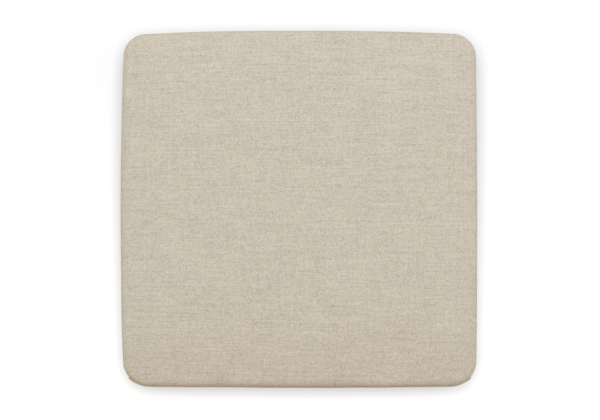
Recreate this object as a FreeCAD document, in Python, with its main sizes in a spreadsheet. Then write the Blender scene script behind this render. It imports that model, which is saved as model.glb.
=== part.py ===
import FreeCAD, Part
import math
import os
import Sketcher

# A square wrapped seat pad for a dining chair, built as a webbed drop-in seat.
# Four dowelled beech rails carry interlaced webbing and hessian. A foam slab lies on them
# under wadding, a calico liner and a linen cover, which both turn under the rails and are
# stapled there. A dust cover closes the underside, and a bolt from the chair enters each
# of four tee nuts through it.
#
# Millimetres, +Z up. The origin is the middle of the underside, and the front edge faces -Y.

SIZES = [
    # The outside of the finished pad
    ("pad_side", 450, "over the cover, at the middle of a side"),
    ("pad_height", 60, "from the underside to the top of the crown"),
    ("side_radius", 5450, "of the slow outward bow of each side"),
    ("corner_radius", 31, "of the pad's corners in plan"),
    ("crown_radius", 3100, "of the domed top"),
    ("top_edge_radius", 14, "where the top rolls over into the sides"),
    ("bottom_edge_radius", 5, "where the cover turns under the rails"),
    # Thicknesses of the layers
    ("dust_cover_thick", 0.5, "non-woven dust cover"),
    ("cover_thick", 1.2, "linen-look cover"),
    ("liner_thick", 0.5, "calico liner"),
    ("wadding_thick", 5, "polyester wadding on top of the foam"),
    ("hessian_thick", 0.7, "hessian under the foam"),
    # The frame
    ("frame_side", 428, "outside of the rail frame"),
    ("rail_width", 56, "of each rail, seen from above"),
    ("rail_thick", 18, "of each rail"),
    ("frame_corner_radius", 24, "of the frame's outer corners in plan"),
    ("rail_round", 2, "of the frame's outer long edges"),
    ("dowel_diameter", 8, "fluted beech dowels, drawn plain"),
    ("dowel_length", 36, "half in each rail"),
    ("dowel_spacing", 26, "between the two dowels of a corner"),
    ("dowel_chamfer", 1, "on each end of a dowel"),
    ("dowel_end_gap", 1, "glue space at the bottom of each dowel hole"),
    # The tee nuts and the holes that lead to them
    ("nut_spacing_across", 300, "between tee nuts, left to right"),
    ("nut_flange_diameter", 19, "pronged M6 tee nut"),
    ("nut_flange_thick", 1.3, "let flush into the rail"),
    ("nut_barrel_diameter", 7.8, "outside of the barrel"),
    ("nut_barrel_length", 9, "below the flange"),
    ("nut_bore_diameter", 5, "drill size of the M6 thread, drawn plain"),
    ("nut_prong_width", 3, "of each prong"),
    ("nut_prong_thick", 1, "of each prong"),
    ("nut_prong_length", 5, "below the flange"),
    ("nut_prong_circle", 16, "diameter that the prongs stand on"),
    ("rail_hole_diameter", 8, "for the tee nut's barrel and the bolt"),
    ("rail_recess_diameter", 20, "for the tee nut's flange"),
    ("dust_hole_diameter", 14, "punched in the dust cover under each tee nut"),
    # The webbing
    ("strap_width", 50, "elastic webbing"),
    ("strap_thick", 1.5, "elastic webbing"),
    ("strap_pitch", 105, "between the middles of neighbouring straps"),
    ("strap_half_length", 196, "from the middle of the seat to a strap's cut end"),
    ("strap_flat_margin", 4, "flat beyond each side of a crossing"),
    # Flat sheets and returns, measured from the middle of the seat
    ("hessian_half", 211, "to the hessian's edge"),
    ("liner_return_half", 203, "to the liner's stapled edge"),
    ("cover_return_half", 195, "to the cover's stapled edge"),
    ("dust_cover_half", 213, "to the dust cover's folded edge"),
    ("dust_cover_corner", 20, "radius of the dust cover's corners"),
    # The staples
    ("staple_crown", 10, "width over the legs"),
    ("short_staple_leg", 6, "of a cloth staple, from the crown's outside to a point"),
    ("long_staple_leg", 12, "of a webbing or hessian staple"),
    ("staple_wire_deep", 0.5, "wire, along the legs' direction"),
    ("staple_wire_wide", 0.7, "wire, across the crown"),
    ("liner_staple_row", 206, "from the middle of the seat"),
    ("cover_staple_row", 200, "from the middle of the seat"),
    ("dust_staple_row", 209.5, "from the middle of the seat"),
    ("hessian_staple_row", 207, "from the middle of the seat"),
    ("strap_staple_row", 190, "outer staples of a strap's end, from the middle"),
    ("strap_staple_step", 12, "between the two rows of a strap's end"),
    ("strap_staple_spread", 15, "from a strap's middle line to its side staples"),
]

BOTH_WAYS = (-1, 1)
QUARTER_TURN = 90
HALF_TURN = 180
UP = FreeCAD.Vector(0, 0, 1)
ACROSS = FreeCAD.Vector(1, 0, 0)

# How many staples stand along one side of each square run
STAPLES_PER_SIDE = {"liner": 12, "cover": 15, "dust_cover": 14, "hessian": 10}
STRAPS_EACH_WAY = 3
PRONGS_PER_NUT = 4

doc = FreeCAD.newDocument("seat_pad")
sheet = doc.addObject("Spreadsheet::Sheet", "Sizes")
for row, (alias, value, meaning) in enumerate(SIZES, start=1):
    sheet.set(f"A{row}", alias)
    sheet.set(f"B{row}", str(value))
    sheet.set(f"C{row}", meaning)
    sheet.setAlias(f"B{row}", alias)
doc.recompute()


def size(alias):
    """The number in the sheet's cell of that name."""
    return float(sheet.get(alias))


def total(*terms):
    """An expression that adds cells of the sheet."""
    return " + ".join(f"Sizes.{term}" for term in terms)


# Heights of the stack, as expressions and as numbers. Two straps cross in one and a half
# thicknesses, because each gives way by a quarter.
COVER_BOTTOM = total("dust_cover_thick")
LINER_BOTTOM = total("dust_cover_thick", "cover_thick")
RAIL_BOTTOM = total("dust_cover_thick", "cover_thick", "liner_thick")
RAIL_TOP = f"{RAIL_BOTTOM} + Sizes.rail_thick"
WEBBING_STACK = total("strap_thick", "strap_thick / 2")
HESSIAN_BOTTOM = f"{RAIL_TOP} + {WEBBING_STACK}"
FOAM_BOTTOM = f"{HESSIAN_BOTTOM} + Sizes.hessian_thick"
FOAM_INSET = total("cover_thick", "liner_thick", "wadding_thick")

rail_bottom = size("dust_cover_thick") + size("cover_thick") + size("liner_thick")
rail_top = rail_bottom + size("rail_thick")
hessian_top = rail_top + size("strap_thick") + size("strap_thick") / 2 + size("hessian_thick")


# ---------------------------------------------------------------- helpers

FULL_TURN = 360
# Lengths closer than this are the same
TINY = 1e-6
# Share by which a cut may differ from what it should remove
CUT_TOLERANCE = 0.01


def new_body(label):
    """An empty body with the sub-part's name."""
    body = doc.addObject("PartDesign::Body", label)
    body.Label = label
    return body


def new_sketch(body, name, role, height="0"):
    """A sketch on one of the body's own planes, lifted by an expression."""
    sketch = body.newObject("Sketcher::SketchObject", name)
    plane = next(item for item in body.Origin.OriginFeatures if item.Role == role)
    sketch.AttachmentSupport = (plane, [""])
    sketch.MapMode = "FlatFace"
    sketch.setExpression("AttachmentOffset.Base.z", height)
    return sketch


def hold(sketch, kind, *where, expression, value):
    """Adds a dimension and binds it to the sheet."""
    index = sketch.addConstraint(Sketcher.Constraint(kind, *where, value))
    sketch.setExpression(f"Constraints[{index}]", expression)


def draw_lines(sketch, points):
    """A closed chain of lines through the points; returns the first line's number."""
    first = sketch.GeometryCount
    for start, end in zip(points, points[1:] + points[:1]):
        sketch.addGeometry(Part.LineSegment(FreeCAD.Vector(*start, 0), FreeCAD.Vector(*end, 0)))
    count = len(points)
    for step in range(count):
        here, following = first + step, first + (step + 1) % count
        sketch.addConstraint(Sketcher.Constraint("Coincident", here, 2, following, 1))
    return first


def draw_rectangle(sketch, wide, deep):
    """A rectangle about the sketch's origin, its sides bound to two expressions."""
    half_wide = size_of(wide) / 2
    half_deep = size_of(deep) / 2
    corners = [
        (-half_wide, -half_deep),
        (half_wide, -half_deep),
        (half_wide, half_deep),
        (-half_wide, half_deep),
    ]
    low = draw_lines(sketch, corners)
    right, high, left = low + 1, low + 2, low + 3
    for line in (low, high):
        sketch.addConstraint(Sketcher.Constraint("Horizontal", line))
    for line in (right, left):
        sketch.addConstraint(Sketcher.Constraint("Vertical", line))
    sketch.addConstraint(Sketcher.Constraint("Symmetric", low, 1, high, 1, -1, 1))
    hold(sketch, "DistanceX", low, 1, low, 2, expression=wide, value=2 * half_wide)
    hold(sketch, "DistanceY", right, 1, right, 2, expression=deep, value=2 * half_deep)


def size_of(expression):
    """The number that an expression over the sheet gives."""
    return float(sheet.evalExpression(expression))


def draw_profile(sketch, points):
    """A closed outline whose corners are worked out from the sheet and then locked."""
    first = draw_lines(sketch, points)
    for line in range(first, first + len(points)):
        sketch.addConstraint(Sketcher.Constraint("Block", line))


def draw_circles(sketch, diameter, across, along=None):
    """Holes at +-across, and at +-along where that is given, of one bound diameter."""
    radius = size_of(diameter) / 2
    right = size_of(across)
    back = size_of(along) if along else 0
    first = sketch.GeometryCount
    places = [(right, back), (-right, back)]
    if along:
        places += [(right, -back), (-right, -back)]
    for place in places:
        sketch.addGeometry(Part.Circle(FreeCAD.Vector(*place, 0), UP, radius))
    hold(sketch, "Radius", first, expression=f"({diameter}) / 2", value=radius)
    hold(sketch, "DistanceX", -1, 1, first, 3, expression=across, value=right)
    if along:
        hold(sketch, "DistanceY", -1, 1, first, 3, expression=along, value=back)
    else:
        sketch.addConstraint(Sketcher.Constraint("PointOnObject", first, 3, -1))
    for other in range(first + 1, first + len(places)):
        sketch.addConstraint(Sketcher.Constraint("Equal", first, other))
    sketch.addConstraint(Sketcher.Constraint("Symmetric", first, 3, first + 1, 3, -2))
    if along:
        sketch.addConstraint(Sketcher.Constraint("Symmetric", first, 3, first + 2, 3, -1))
        sketch.addConstraint(Sketcher.Constraint("Symmetric", first + 1, 3, first + 3, 3, -1))


def pad(body, sketch, length, middle=False, downwards=False):
    """Pushes a sketch out into a solid."""
    feature = body.newObject("PartDesign::Pad", f"{sketch.Name}_pad")
    feature.Profile = sketch
    feature.setExpression("Length", length)
    feature.Midplane = middle
    feature.Reversed = downwards
    doc.recompute()
    return feature


def pocket(body, sketch, depth, expected, reverse=False):
    """Cuts a sketch into the solid and makes sure that the right amount went."""
    before = body.Shape.Volume
    feature = body.newObject("PartDesign::Pocket", f"{sketch.Name}_cut")
    feature.Profile = sketch
    feature.setExpression("Length", depth)
    feature.Reversed = reverse
    doc.recompute()
    removed = before - body.Shape.Volume
    if abs(removed - expected) > CUT_TOLERANCE * expected:
        raise RuntimeError(f"{feature.Name} removed {removed:.1f}, not {expected:.1f} cubic mm")
    return feature


def edge_names(shape, wanted):
    """The names of the edges that pass a test."""
    return [f"Edge{number}" for number, edge in enumerate(shape.Edges, start=1) if wanted(edge)]


def fillet(body, radius, wanted):
    """Rounds the edges that the test picks, by an expression."""
    base = body.Tip
    feature = body.newObject("PartDesign::Fillet", f"{body.Name}_round")
    feature.Base = (base, edge_names(base.Shape, wanted))
    feature.setExpression("Radius", radius)
    doc.recompute()
    return feature


def edges_of(faces):
    """A test for the edges that bound any of the faces."""
    held = [edge for face in faces for edge in face.Edges]
    return lambda edge: any(edge.isSame(one) for one in held)


def is_upright(edge):
    """True for a straight edge that runs along Z."""
    low, high = edge.BoundBox.ZMin, edge.BoundBox.ZMax
    return edge.BoundBox.XLength + edge.BoundBox.YLength < TINY and high > low


def place(thing, x="0", y="0", z="0", turn=0):
    """Puts a sub-part in the seat, turned about Z."""
    thing.Placement = FreeCAD.Placement(FreeCAD.Vector(), FreeCAD.Rotation(UP, turn))
    for axis, expression in (("x", x), ("y", y), ("z", z)):
        thing.setExpression(f"Placement.Base.{axis}", expression)


def cut(label, base, *tools):
    """One solid less others."""
    if len(tools) > 1:
        tool = doc.addObject("Part::MultiFuse", f"{label}_tools")
        tool.Shapes = list(tools)
    else:
        tool = tools[0]
    result = doc.addObject("Part::Cut", label)
    result.Label = label
    result.Base = base
    result.Tool = tool
    return result


def group_of(label, master, spots):
    """One node that holds a copy of the master at each spot, all separate solids."""
    group = doc.addObject("Part::Feature", label)
    group.Label = label
    copies = [master.Shape.transformed(spot.toMatrix()) for spot in spots]
    group.Shape = Part.makeCompound(copies)
    group.Placement = FreeCAD.Placement()
    return group


# ---------------------------------------------------------------- stuffed forms

def draw_bowed_square(sketch, inset):
    """The pad's plan: four slow arcs joined by four corner arcs, all shrunk by the inset.

    Every arc keeps its centre as the inset grows, so nested outlines stay parallel.
    """
    gap = size_of(inset)
    side = size("side_radius") - gap
    corner = size("corner_radius") - gap
    centre_offset = size("side_radius") - size("pad_side") / 2
    reach = size("side_radius") - size("corner_radius")
    # The corner's centre lies on the diagonal, a distance of reach from the side's centre
    middle = (math.sqrt(2 * reach**2 - centre_offset**2) - centre_offset) / 2
    lean = math.atan2(middle, middle + centre_offset)
    quarter = math.pi / 2
    centre_expression = "Sizes.side_radius - Sizes.pad_side / 2"
    for step in range(4):
        turn = step * quarter
        outward = (math.cos(turn), math.sin(turn))
        side_centre = FreeCAD.Vector(-centre_offset * outward[0], -centre_offset * outward[1], 0)
        side_circle = Part.Circle(side_centre, UP, side)
        sketch.addGeometry(Part.ArcOfCircle(side_circle, turn - lean, turn + lean))
        diagonal = turn + quarter / 2
        spread = middle * math.sqrt(2)
        corner_centre = FreeCAD.Vector(spread * math.cos(diagonal), spread * math.sin(diagonal), 0)
        corner_circle = Part.Circle(corner_centre, UP, corner)
        sketch.addGeometry(Part.ArcOfCircle(corner_circle, turn + lean, turn + quarter - lean))
    for arc in range(8):
        sketch.addConstraint(Sketcher.Constraint("Tangent", arc, 2, (arc + 1) % 8, 1))
    for arc in (0, 4):
        sketch.addConstraint(Sketcher.Constraint("PointOnObject", arc, 3, -1))
    for arc in (2, 6):
        sketch.addConstraint(Sketcher.Constraint("PointOnObject", arc, 3, -2))
    far = {"expression": centre_expression, "value": centre_offset}
    hold(sketch, "DistanceX", 0, 3, -1, 1, **far)
    hold(sketch, "DistanceY", 2, 3, -1, 1, **far)
    hold(sketch, "DistanceX", -1, 1, 4, 3, **far)
    hold(sketch, "DistanceY", -1, 1, 6, 3, **far)
    for arc in range(0, 8, 2):
        hold(sketch, "Radius", arc, expression=f"Sizes.side_radius - ({inset})", value=side)
        hold(sketch, "Radius", arc + 1, expression=f"Sizes.corner_radius - ({inset})", value=corner)


def cut_crown(body, inset):
    """Turns away everything above the domed top."""
    sketch = new_sketch(body, f"{body.Name}_crown", "XZ_Plane")
    radius = size("crown_radius") - size_of(inset)
    centre = size("pad_height") - size("crown_radius")
    reach = size("pad_side")
    clear = size("pad_height")
    top = centre + radius
    edge = centre + math.sqrt(radius**2 - reach**2)
    dome = Part.Circle(FreeCAD.Vector(0, centre, 0), UP, radius)
    sketch.addGeometry(Part.ArcOfCircle(dome, math.acos(reach / radius), math.pi / 2))
    corners = [(0, top), (0, top + clear), (reach, top + clear), (reach, edge)]
    for start, end in zip(corners, corners[1:]):
        sketch.addGeometry(Part.LineSegment(FreeCAD.Vector(*start, 0), FreeCAD.Vector(*end, 0)))
    sketch.addConstraint(Sketcher.Constraint("Coincident", 0, 2, 1, 1))
    sketch.addConstraint(Sketcher.Constraint("Coincident", 1, 2, 2, 1))
    sketch.addConstraint(Sketcher.Constraint("Coincident", 2, 2, 3, 1))
    sketch.addConstraint(Sketcher.Constraint("Coincident", 3, 2, 0, 1))
    sketch.addConstraint(Sketcher.Constraint("Vertical", 1))
    sketch.addConstraint(Sketcher.Constraint("Horizontal", 2))
    sketch.addConstraint(Sketcher.Constraint("Vertical", 3))
    sketch.addConstraint(Sketcher.Constraint("PointOnObject", 0, 3, -2))
    sketch.addConstraint(Sketcher.Constraint("PointOnObject", 0, 2, -2))
    below = "Sizes.crown_radius - Sizes.pad_height"
    hold(sketch, "DistanceY", 0, 3, -1, 1, expression=below, value=-centre)
    hold(sketch, "Radius", 0, expression=f"Sizes.crown_radius - ({inset})", value=radius)
    hold(sketch, "DistanceX", -1, 1, 0, 1, expression="Sizes.pad_side", value=reach)
    hold(sketch, "DistanceY", 1, 1, 1, 2, expression="Sizes.pad_height", value=clear)
    groove = body.newObject("PartDesign::Groove", f"{body.Name}_dome")
    groove.Profile = sketch
    groove.ReferenceAxis = (sketch, ["V_Axis"])
    groove.Angle = FULL_TURN
    before = body.Shape.Volume
    doc.recompute()
    if body.Shape.Volume > before:
        raise RuntimeError(f"the crown of {body.Name} removed nothing")


def round_top(body, inset):
    """Rolls the domed top over into the sides."""
    domed = [face for face in body.Tip.Shape.Faces if face.Surface.TypeId == "Part::GeomSphere"]
    fillet(body, f"Sizes.top_edge_radius - ({inset})", edges_of(domed))


def round_bottom(body, inset):
    """Rolls the sides under the rails."""
    shape = body.Tip.Shape
    floor = shape.BoundBox.ZMin
    flat = [face for face in shape.Faces if face.BoundBox.ZMax < floor + TINY]
    fillet(body, f"Sizes.bottom_edge_radius - ({inset})", edges_of(flat))


def wrapped_form(label, inset, bottom):
    """The filled shape of a layer that goes round the whole seat."""
    body = new_body(label)
    sketch = new_sketch(body, f"{label}_plan", "XY_Plane", bottom)
    draw_bowed_square(sketch, inset)
    pad(body, sketch, "Sizes.pad_height")
    cut_crown(body, inset)
    round_top(body, inset)
    round_bottom(body, inset)
    return body


def slab_form(label, bottom):
    """The filled shape of the foam's outside, flush with the frame, from a given height."""
    body = new_body(label)
    sketch = new_sketch(body, f"{label}_plan", "XY_Plane", bottom)
    draw_rectangle(sketch, "Sizes.frame_side", "Sizes.frame_side")
    pad(body, sketch, "Sizes.pad_height")
    fillet(body, "Sizes.frame_corner_radius", is_upright)
    cut_crown(body, FOAM_INSET)
    round_top(body, FOAM_INSET)
    return body


def window(label, half, top):
    """The square that a turned-under layer leaves open on the underside."""
    box = doc.addObject("Part::Box", label)
    box.setExpression("Length", f"2 * Sizes.{half}")
    box.setExpression("Width", f"2 * Sizes.{half}")
    box.setExpression("Height", top)
    place(box, x=f"-Sizes.{half}", y=f"-Sizes.{half}")
    return box


# ---------------------------------------------------------------- the frame

def shape_rail(body, length):
    """A rail lying along X with its outer edge towards -Y."""
    sketch = new_sketch(body, f"{body.Name}_plan", "XY_Plane")
    draw_rectangle(sketch, length, "Sizes.rail_width")
    pad(body, sketch, "Sizes.rail_thick")


def hole_volume(diameter, depth):
    """How much a plain round hole takes out."""
    return math.pi * size(diameter) ** 2 / 4 * depth


def long_rail(label, y, turn):
    """The front or the back rail: rounded outer corners, two tee nuts, four dowel holes."""
    body = new_body(label)
    shape_rail(body, "Sizes.frame_side")
    outer = -size("rail_width") / 2

    def is_corner(edge):
        return is_upright(edge) and edge.BoundBox.YMin < outer + TINY

    fillet(body, "Sizes.frame_corner_radius", is_corner)

    def is_outer(edge):
        flat = edge.BoundBox.ZLength < TINY
        inner_side = edge.BoundBox.YMin > -outer - TINY
        return flat and not inner_side

    fillet(body, "Sizes.rail_round", is_outer)
    bolt = new_sketch(body, f"{label}_bolt_holes", "XY_Plane", "Sizes.rail_thick")
    draw_circles(bolt, "Sizes.rail_hole_diameter", "Sizes.nut_spacing_across / 2")
    pocket(body, bolt, "Sizes.rail_thick", 2 * hole_volume("rail_hole_diameter", size("rail_thick")))
    recess = new_sketch(body, f"{label}_recesses", "XY_Plane", "Sizes.rail_thick")
    draw_circles(recess, "Sizes.rail_recess_diameter", "Sizes.nut_spacing_across / 2")
    deep = size("nut_flange_thick")
    ring = hole_volume("rail_recess_diameter", deep) - hole_volume("rail_hole_diameter", deep)
    pocket(body, recess, "Sizes.nut_flange_thick", 2 * ring)
    for name, sign in (("near", "-"), ("far", "+")):
        across = f"(Sizes.frame_side - Sizes.rail_width {sign} Sizes.dowel_spacing) / 2"
        drill_dowels(body, f"{label}_{name}", "XZ_Plane", "-Sizes.rail_width / 2", across, True)
    place(body, y=y, z=RAIL_BOTTOM, turn=turn)
    return body


def drill_dowels(body, name, role, face, across, reverse):
    """Two dowel holes, one each side of the rail's middle, into a face of the rail."""
    sketch = new_sketch(body, f"{name}_dowel_holes", role, face)
    radius = size("dowel_diameter") / 2
    height = "Sizes.rail_thick / 2"
    middle = size("rail_thick") / 2
    right = size_of(across)
    for sign in BOTH_WAYS:
        sketch.addGeometry(Part.Circle(FreeCAD.Vector(-sign * right, middle, 0), UP, radius))
    hold(sketch, "DistanceX", -1, 1, 0, 3, expression=across, value=right)
    hold(sketch, "DistanceX", 1, 3, -1, 1, expression=across, value=right)
    for circle in range(2):
        hold(sketch, "DistanceY", -1, 1, circle, 3, expression=height, value=middle)
        hold(sketch, "Radius", circle, expression="Sizes.dowel_diameter / 2", value=radius)
    deep = size("dowel_length") / 2 + size("dowel_end_gap")
    depth = "Sizes.dowel_length / 2 + Sizes.dowel_end_gap"
    return pocket(body, sketch, depth, 2 * hole_volume("dowel_diameter", deep), reverse)


def short_rail(label, x, turn):
    """The left or the right rail, which fits between the long ones."""
    body = new_body(label)
    shape_rail(body, "Sizes.frame_side - 2 * Sizes.rail_width")
    outer = -size("rail_width") / 2

    def is_outer(edge):
        flat = edge.BoundBox.ZLength < TINY
        return flat and edge.BoundBox.YMax < outer + TINY

    fillet(body, "Sizes.rail_round", is_outer)
    end = "Sizes.frame_side / 2 - Sizes.rail_width"
    holes = drill_dowels(body, label, "YZ_Plane", end, "Sizes.dowel_spacing / 2", False)
    before = body.Shape.Volume
    mirrored = body.newObject("PartDesign::Mirrored", f"{label}_other_end")
    mirrored.Originals = [holes]
    mirrored.MirrorPlane = (holes.Profile[0].AttachmentSupport[0][0], [""])
    body.Tip = mirrored
    doc.recompute()
    if body.Shape.Volume >= before:
        raise RuntimeError(f"the other end of {label} has no dowel holes")
    place(body, x=x, z=RAIL_BOTTOM, turn=turn)
    return body


def dowel():
    """One dowel, lying along Y with its middle at the origin."""
    body = new_body("dowel")
    sketch = new_sketch(body, "dowel_end", "XZ_Plane")
    radius = size("dowel_diameter") / 2
    sketch.addGeometry(Part.Circle(FreeCAD.Vector(), UP, radius))
    sketch.addConstraint(Sketcher.Constraint("Coincident", 0, 3, -1, 1))
    hold(sketch, "Radius", 0, expression="Sizes.dowel_diameter / 2", value=radius)
    plain = pad(body, sketch, "Sizes.dowel_length", middle=True)
    chamfer = body.newObject("PartDesign::Chamfer", "dowel_ends")
    chamfer.Base = (plain, edge_names(plain.Shape, lambda edge: edge.BoundBox.YLength < TINY))
    chamfer.setExpression("Size", "Sizes.dowel_chamfer")
    doc.recompute()
    return body


def dowel_spots():
    """Two dowels across each of the four joints between the rails."""
    joint = size("frame_side") / 2 - size("rail_width")
    rail_middle = (size("frame_side") - size("rail_width")) / 2
    height = rail_bottom + size("rail_thick") / 2
    spots = []
    for side in BOTH_WAYS:
        for end in BOTH_WAYS:
            for step in BOTH_WAYS:
                x = side * rail_middle + step * size("dowel_spacing") / 2
                spots.append(FreeCAD.Placement(FreeCAD.Vector(x, end * joint, height), FreeCAD.Rotation()))
    return spots


# ---------------------------------------------------------------- the tee nuts

def tee_nut():
    """A pronged M6 tee nut with its flange's top at the origin and its barrel hanging down."""
    body = new_body("tee_nut")
    sketch = new_sketch(body, "tee_nut_section", "XZ_Plane")
    bore = size("nut_bore_diameter") / 2
    barrel = size("nut_barrel_diameter") / 2
    rim = size("nut_flange_diameter") / 2
    under = -size("nut_flange_thick")
    end = under - size("nut_barrel_length")
    draw_profile(sketch, [(bore, end), (barrel, end), (barrel, under), (rim, under), (rim, 0), (bore, 0)])
    turned = body.newObject("PartDesign::Revolution", "tee_nut_turned")
    turned.Profile = sketch
    turned.ReferenceAxis = (sketch, ["V_Axis"])
    turned.Angle = FULL_TURN
    doc.recompute()
    prong = new_sketch(body, "tee_nut_prong", "XY_Plane", "-Sizes.nut_flange_thick")
    near = (size("nut_prong_circle") - size("nut_prong_thick")) / 2
    far = near + size("nut_prong_thick")
    half = size("nut_prong_width") / 2
    draw_profile(prong, [(near, -half), (far, -half), (far, half), (near, half)])
    first = pad(body, prong, "Sizes.nut_prong_length", downwards=True)
    ring = body.newObject("PartDesign::PolarPattern", "tee_nut_prongs")
    ring.Originals = [first]
    ring.Axis = (prong, ["N_Axis"])
    ring.Angle = FULL_TURN
    ring.Occurrences = PRONGS_PER_NUT
    body.Tip = ring
    doc.recompute()
    return body


def tee_nut_spots():
    """One tee nut near each end of the front and back rails."""
    across = size("nut_spacing_across") / 2
    along = (size("frame_side") - size("rail_width")) / 2
    turn = FreeCAD.Rotation(UP, QUARTER_TURN / 2)
    return [
        FreeCAD.Placement(FreeCAD.Vector(side * across, end * along, rail_top), turn)
        for side in BOTH_WAYS
        for end in BOTH_WAYS
    ]


# ---------------------------------------------------------------- the webbing

def strap(label, offset, rises, lengthwise):
    """One strap: flat on two rails, and over or under each strap that it crosses.

    rises holds +1 where this strap passes over, and -1 where it passes under.
    """
    body = new_body(label)
    sketch = new_sketch(body, f"{label}_side", "XZ_Plane")
    thick = size("strap_thick")
    flat = size("strap_width") / 2 + size("strap_flat_margin")
    edge = size("frame_side") / 2 - size("rail_width")
    end = size("strap_half_length")
    under = [(-end, 0), (-edge, 0)]
    for step, rise in enumerate(rises):
        middle = (step - 1) * size("strap_pitch")
        level = rise * thick / 2
        under += [(middle - flat, level), (middle + flat, level)]
    under += [(edge, 0), (end, 0)]
    over = [(x, level + thick) for x, level in reversed(under)]
    draw_profile(sketch, under + over)
    pad(body, sketch, "Sizes.strap_width", middle=True)
    if lengthwise:
        place(body, x=offset, z=RAIL_TOP, turn=QUARTER_TURN)
    else:
        place(body, y=offset, z=RAIL_TOP)
    return body


def strap_staple_spots():
    """Four staples in each strap's end, two rows of two."""
    spots = []
    height = rail_top + size("strap_thick")
    spread = size("strap_staple_spread")
    for number in range(STRAPS_EACH_WAY):
        middle = (number - 1) * size("strap_pitch")
        for quarter in range(4):
            for row in range(2):
                out = size("strap_staple_row") - row * size("strap_staple_step")
                for sign in BOTH_WAYS:
                    spots.append(driven_down(middle + sign * spread, out, height, quarter))
    return spots


# ---------------------------------------------------------------- the staples

def staple(length):
    """One staple, its crown's outside on the XY plane and its legs up, lying along X."""
    body = new_body(f"{length}_staple")
    sketch = new_sketch(body, f"{length}_staple_front", "XZ_Plane")
    half = size("staple_crown") / 2
    leg = size(f"{length}_staple_leg")
    wire = size("staple_wire_deep")
    outside = [(-half, 0), (half, 0), (half, leg), (half - wire, leg)]
    inside = [(half - wire, wire), (wire - half, wire), (wire - half, leg), (-half, leg)]
    draw_profile(sketch, outside + inside)
    pad(body, sketch, "Sizes.staple_wire_wide", middle=True)
    return body


def driven_up(along, out, height, quarter):
    """A staple's place on the underside, on one of the four sides."""
    turn = FreeCAD.Rotation(UP, quarter * QUARTER_TURN)
    return FreeCAD.Placement(turn.multVec(FreeCAD.Vector(along, -out, height)), turn)


def driven_down(along, out, height, quarter):
    """The same on the rails' top, with the legs down."""
    spot = driven_up(along, out, height, quarter)
    spot.Rotation = spot.Rotation.multiply(FreeCAD.Rotation(ACROSS, HALF_TURN))
    return spot


def square_run(kind, row, height, driven):
    """Evenly spaced staples along four sides."""
    count = STAPLES_PER_SIDE[kind]
    step = 2 * size(row) / count
    spots = []
    for quarter in range(4):
        for number in range(count):
            along = (number - (count - 1) / 2) * step
            spots.append(driven(along, size(row), height, quarter))
    return spots


# ---------------------------------------------------------------- flat sheets

def hessian_panel():
    """Hessian stretched over the webbing."""
    body = new_body("hessian_panel")
    sketch = new_sketch(body, "hessian_plan", "XY_Plane")
    draw_rectangle(sketch, "2 * Sizes.hessian_half", "2 * Sizes.hessian_half")
    pad(body, sketch, "Sizes.hessian_thick")
    place(body, z=HESSIAN_BOTTOM)
    return body


def dust_cover():
    """The non-woven sheet that closes the underside, punched under each tee nut."""
    body = new_body("dust_cover")
    sketch = new_sketch(body, "dust_cover_plan", "XY_Plane")
    draw_rectangle(sketch, "2 * Sizes.dust_cover_half", "2 * Sizes.dust_cover_half")
    pad(body, sketch, "Sizes.dust_cover_thick")
    fillet(body, "Sizes.dust_cover_corner", is_upright)
    holes = new_sketch(body, "dust_cover_holes", "XY_Plane", "Sizes.dust_cover_thick")
    along = "(Sizes.frame_side - Sizes.rail_width) / 2"
    draw_circles(holes, "Sizes.dust_hole_diameter", "Sizes.nut_spacing_across / 2", along)
    thick = size("dust_cover_thick")
    pocket(body, holes, "Sizes.dust_cover_thick", 4 * hole_volume("dust_hole_diameter", thick))
    place(body)
    return body


# ---------------------------------------------------------------- assembly

rail_line = "(Sizes.frame_side - Sizes.rail_width) / 2"
nodes = [
    long_rail("front_rail", f"-{rail_line}", 0),
    long_rail("back_rail", rail_line, HALF_TURN),
    short_rail("right_rail", rail_line, QUARTER_TURN),
    short_rail("left_rail", f"-{rail_line}", -QUARTER_TURN),
    group_of("frame_dowels", dowel(), dowel_spots()),
    group_of("tee_nuts", tee_nut(), tee_nut_spots()),
]

lengthwise_names = ("left", "middle", "right")
crosswise_names = ("front", "middle", "back")
for number in range(STRAPS_EACH_WAY):
    over = [1 if (number + crossing) % 2 == 0 else -1 for crossing in range(STRAPS_EACH_WAY)]
    under = [-rise for rise in over]
    offset = f"{number - 1} * Sizes.strap_pitch"
    nodes.append(strap(f"webbing_lengthwise_{lengthwise_names[number]}", offset, over, True))
    nodes.append(strap(f"webbing_crosswise_{crosswise_names[number]}", offset, under, False))

short_staple = staple("short")
long_staple = staple("long")
nodes += [
    group_of("webbing_staples", long_staple, strap_staple_spots()),
    hessian_panel(),
    group_of(
        "hessian_staples",
        long_staple,
        square_run("hessian", "hessian_staple_row", hessian_top, driven_down),
    ),
    slab_form("seat_foam", FOAM_BOTTOM),
]

cover_outside = wrapped_form("cover_outside", "0", COVER_BOTTOM)
liner_outside = wrapped_form("liner_outside", "Sizes.cover_thick", LINER_BOTTOM)
wadding_outside = wrapped_form("wadding_outside", total("cover_thick", "liner_thick"), RAIL_BOTTOM)
core = slab_form("core", "0")

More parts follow.
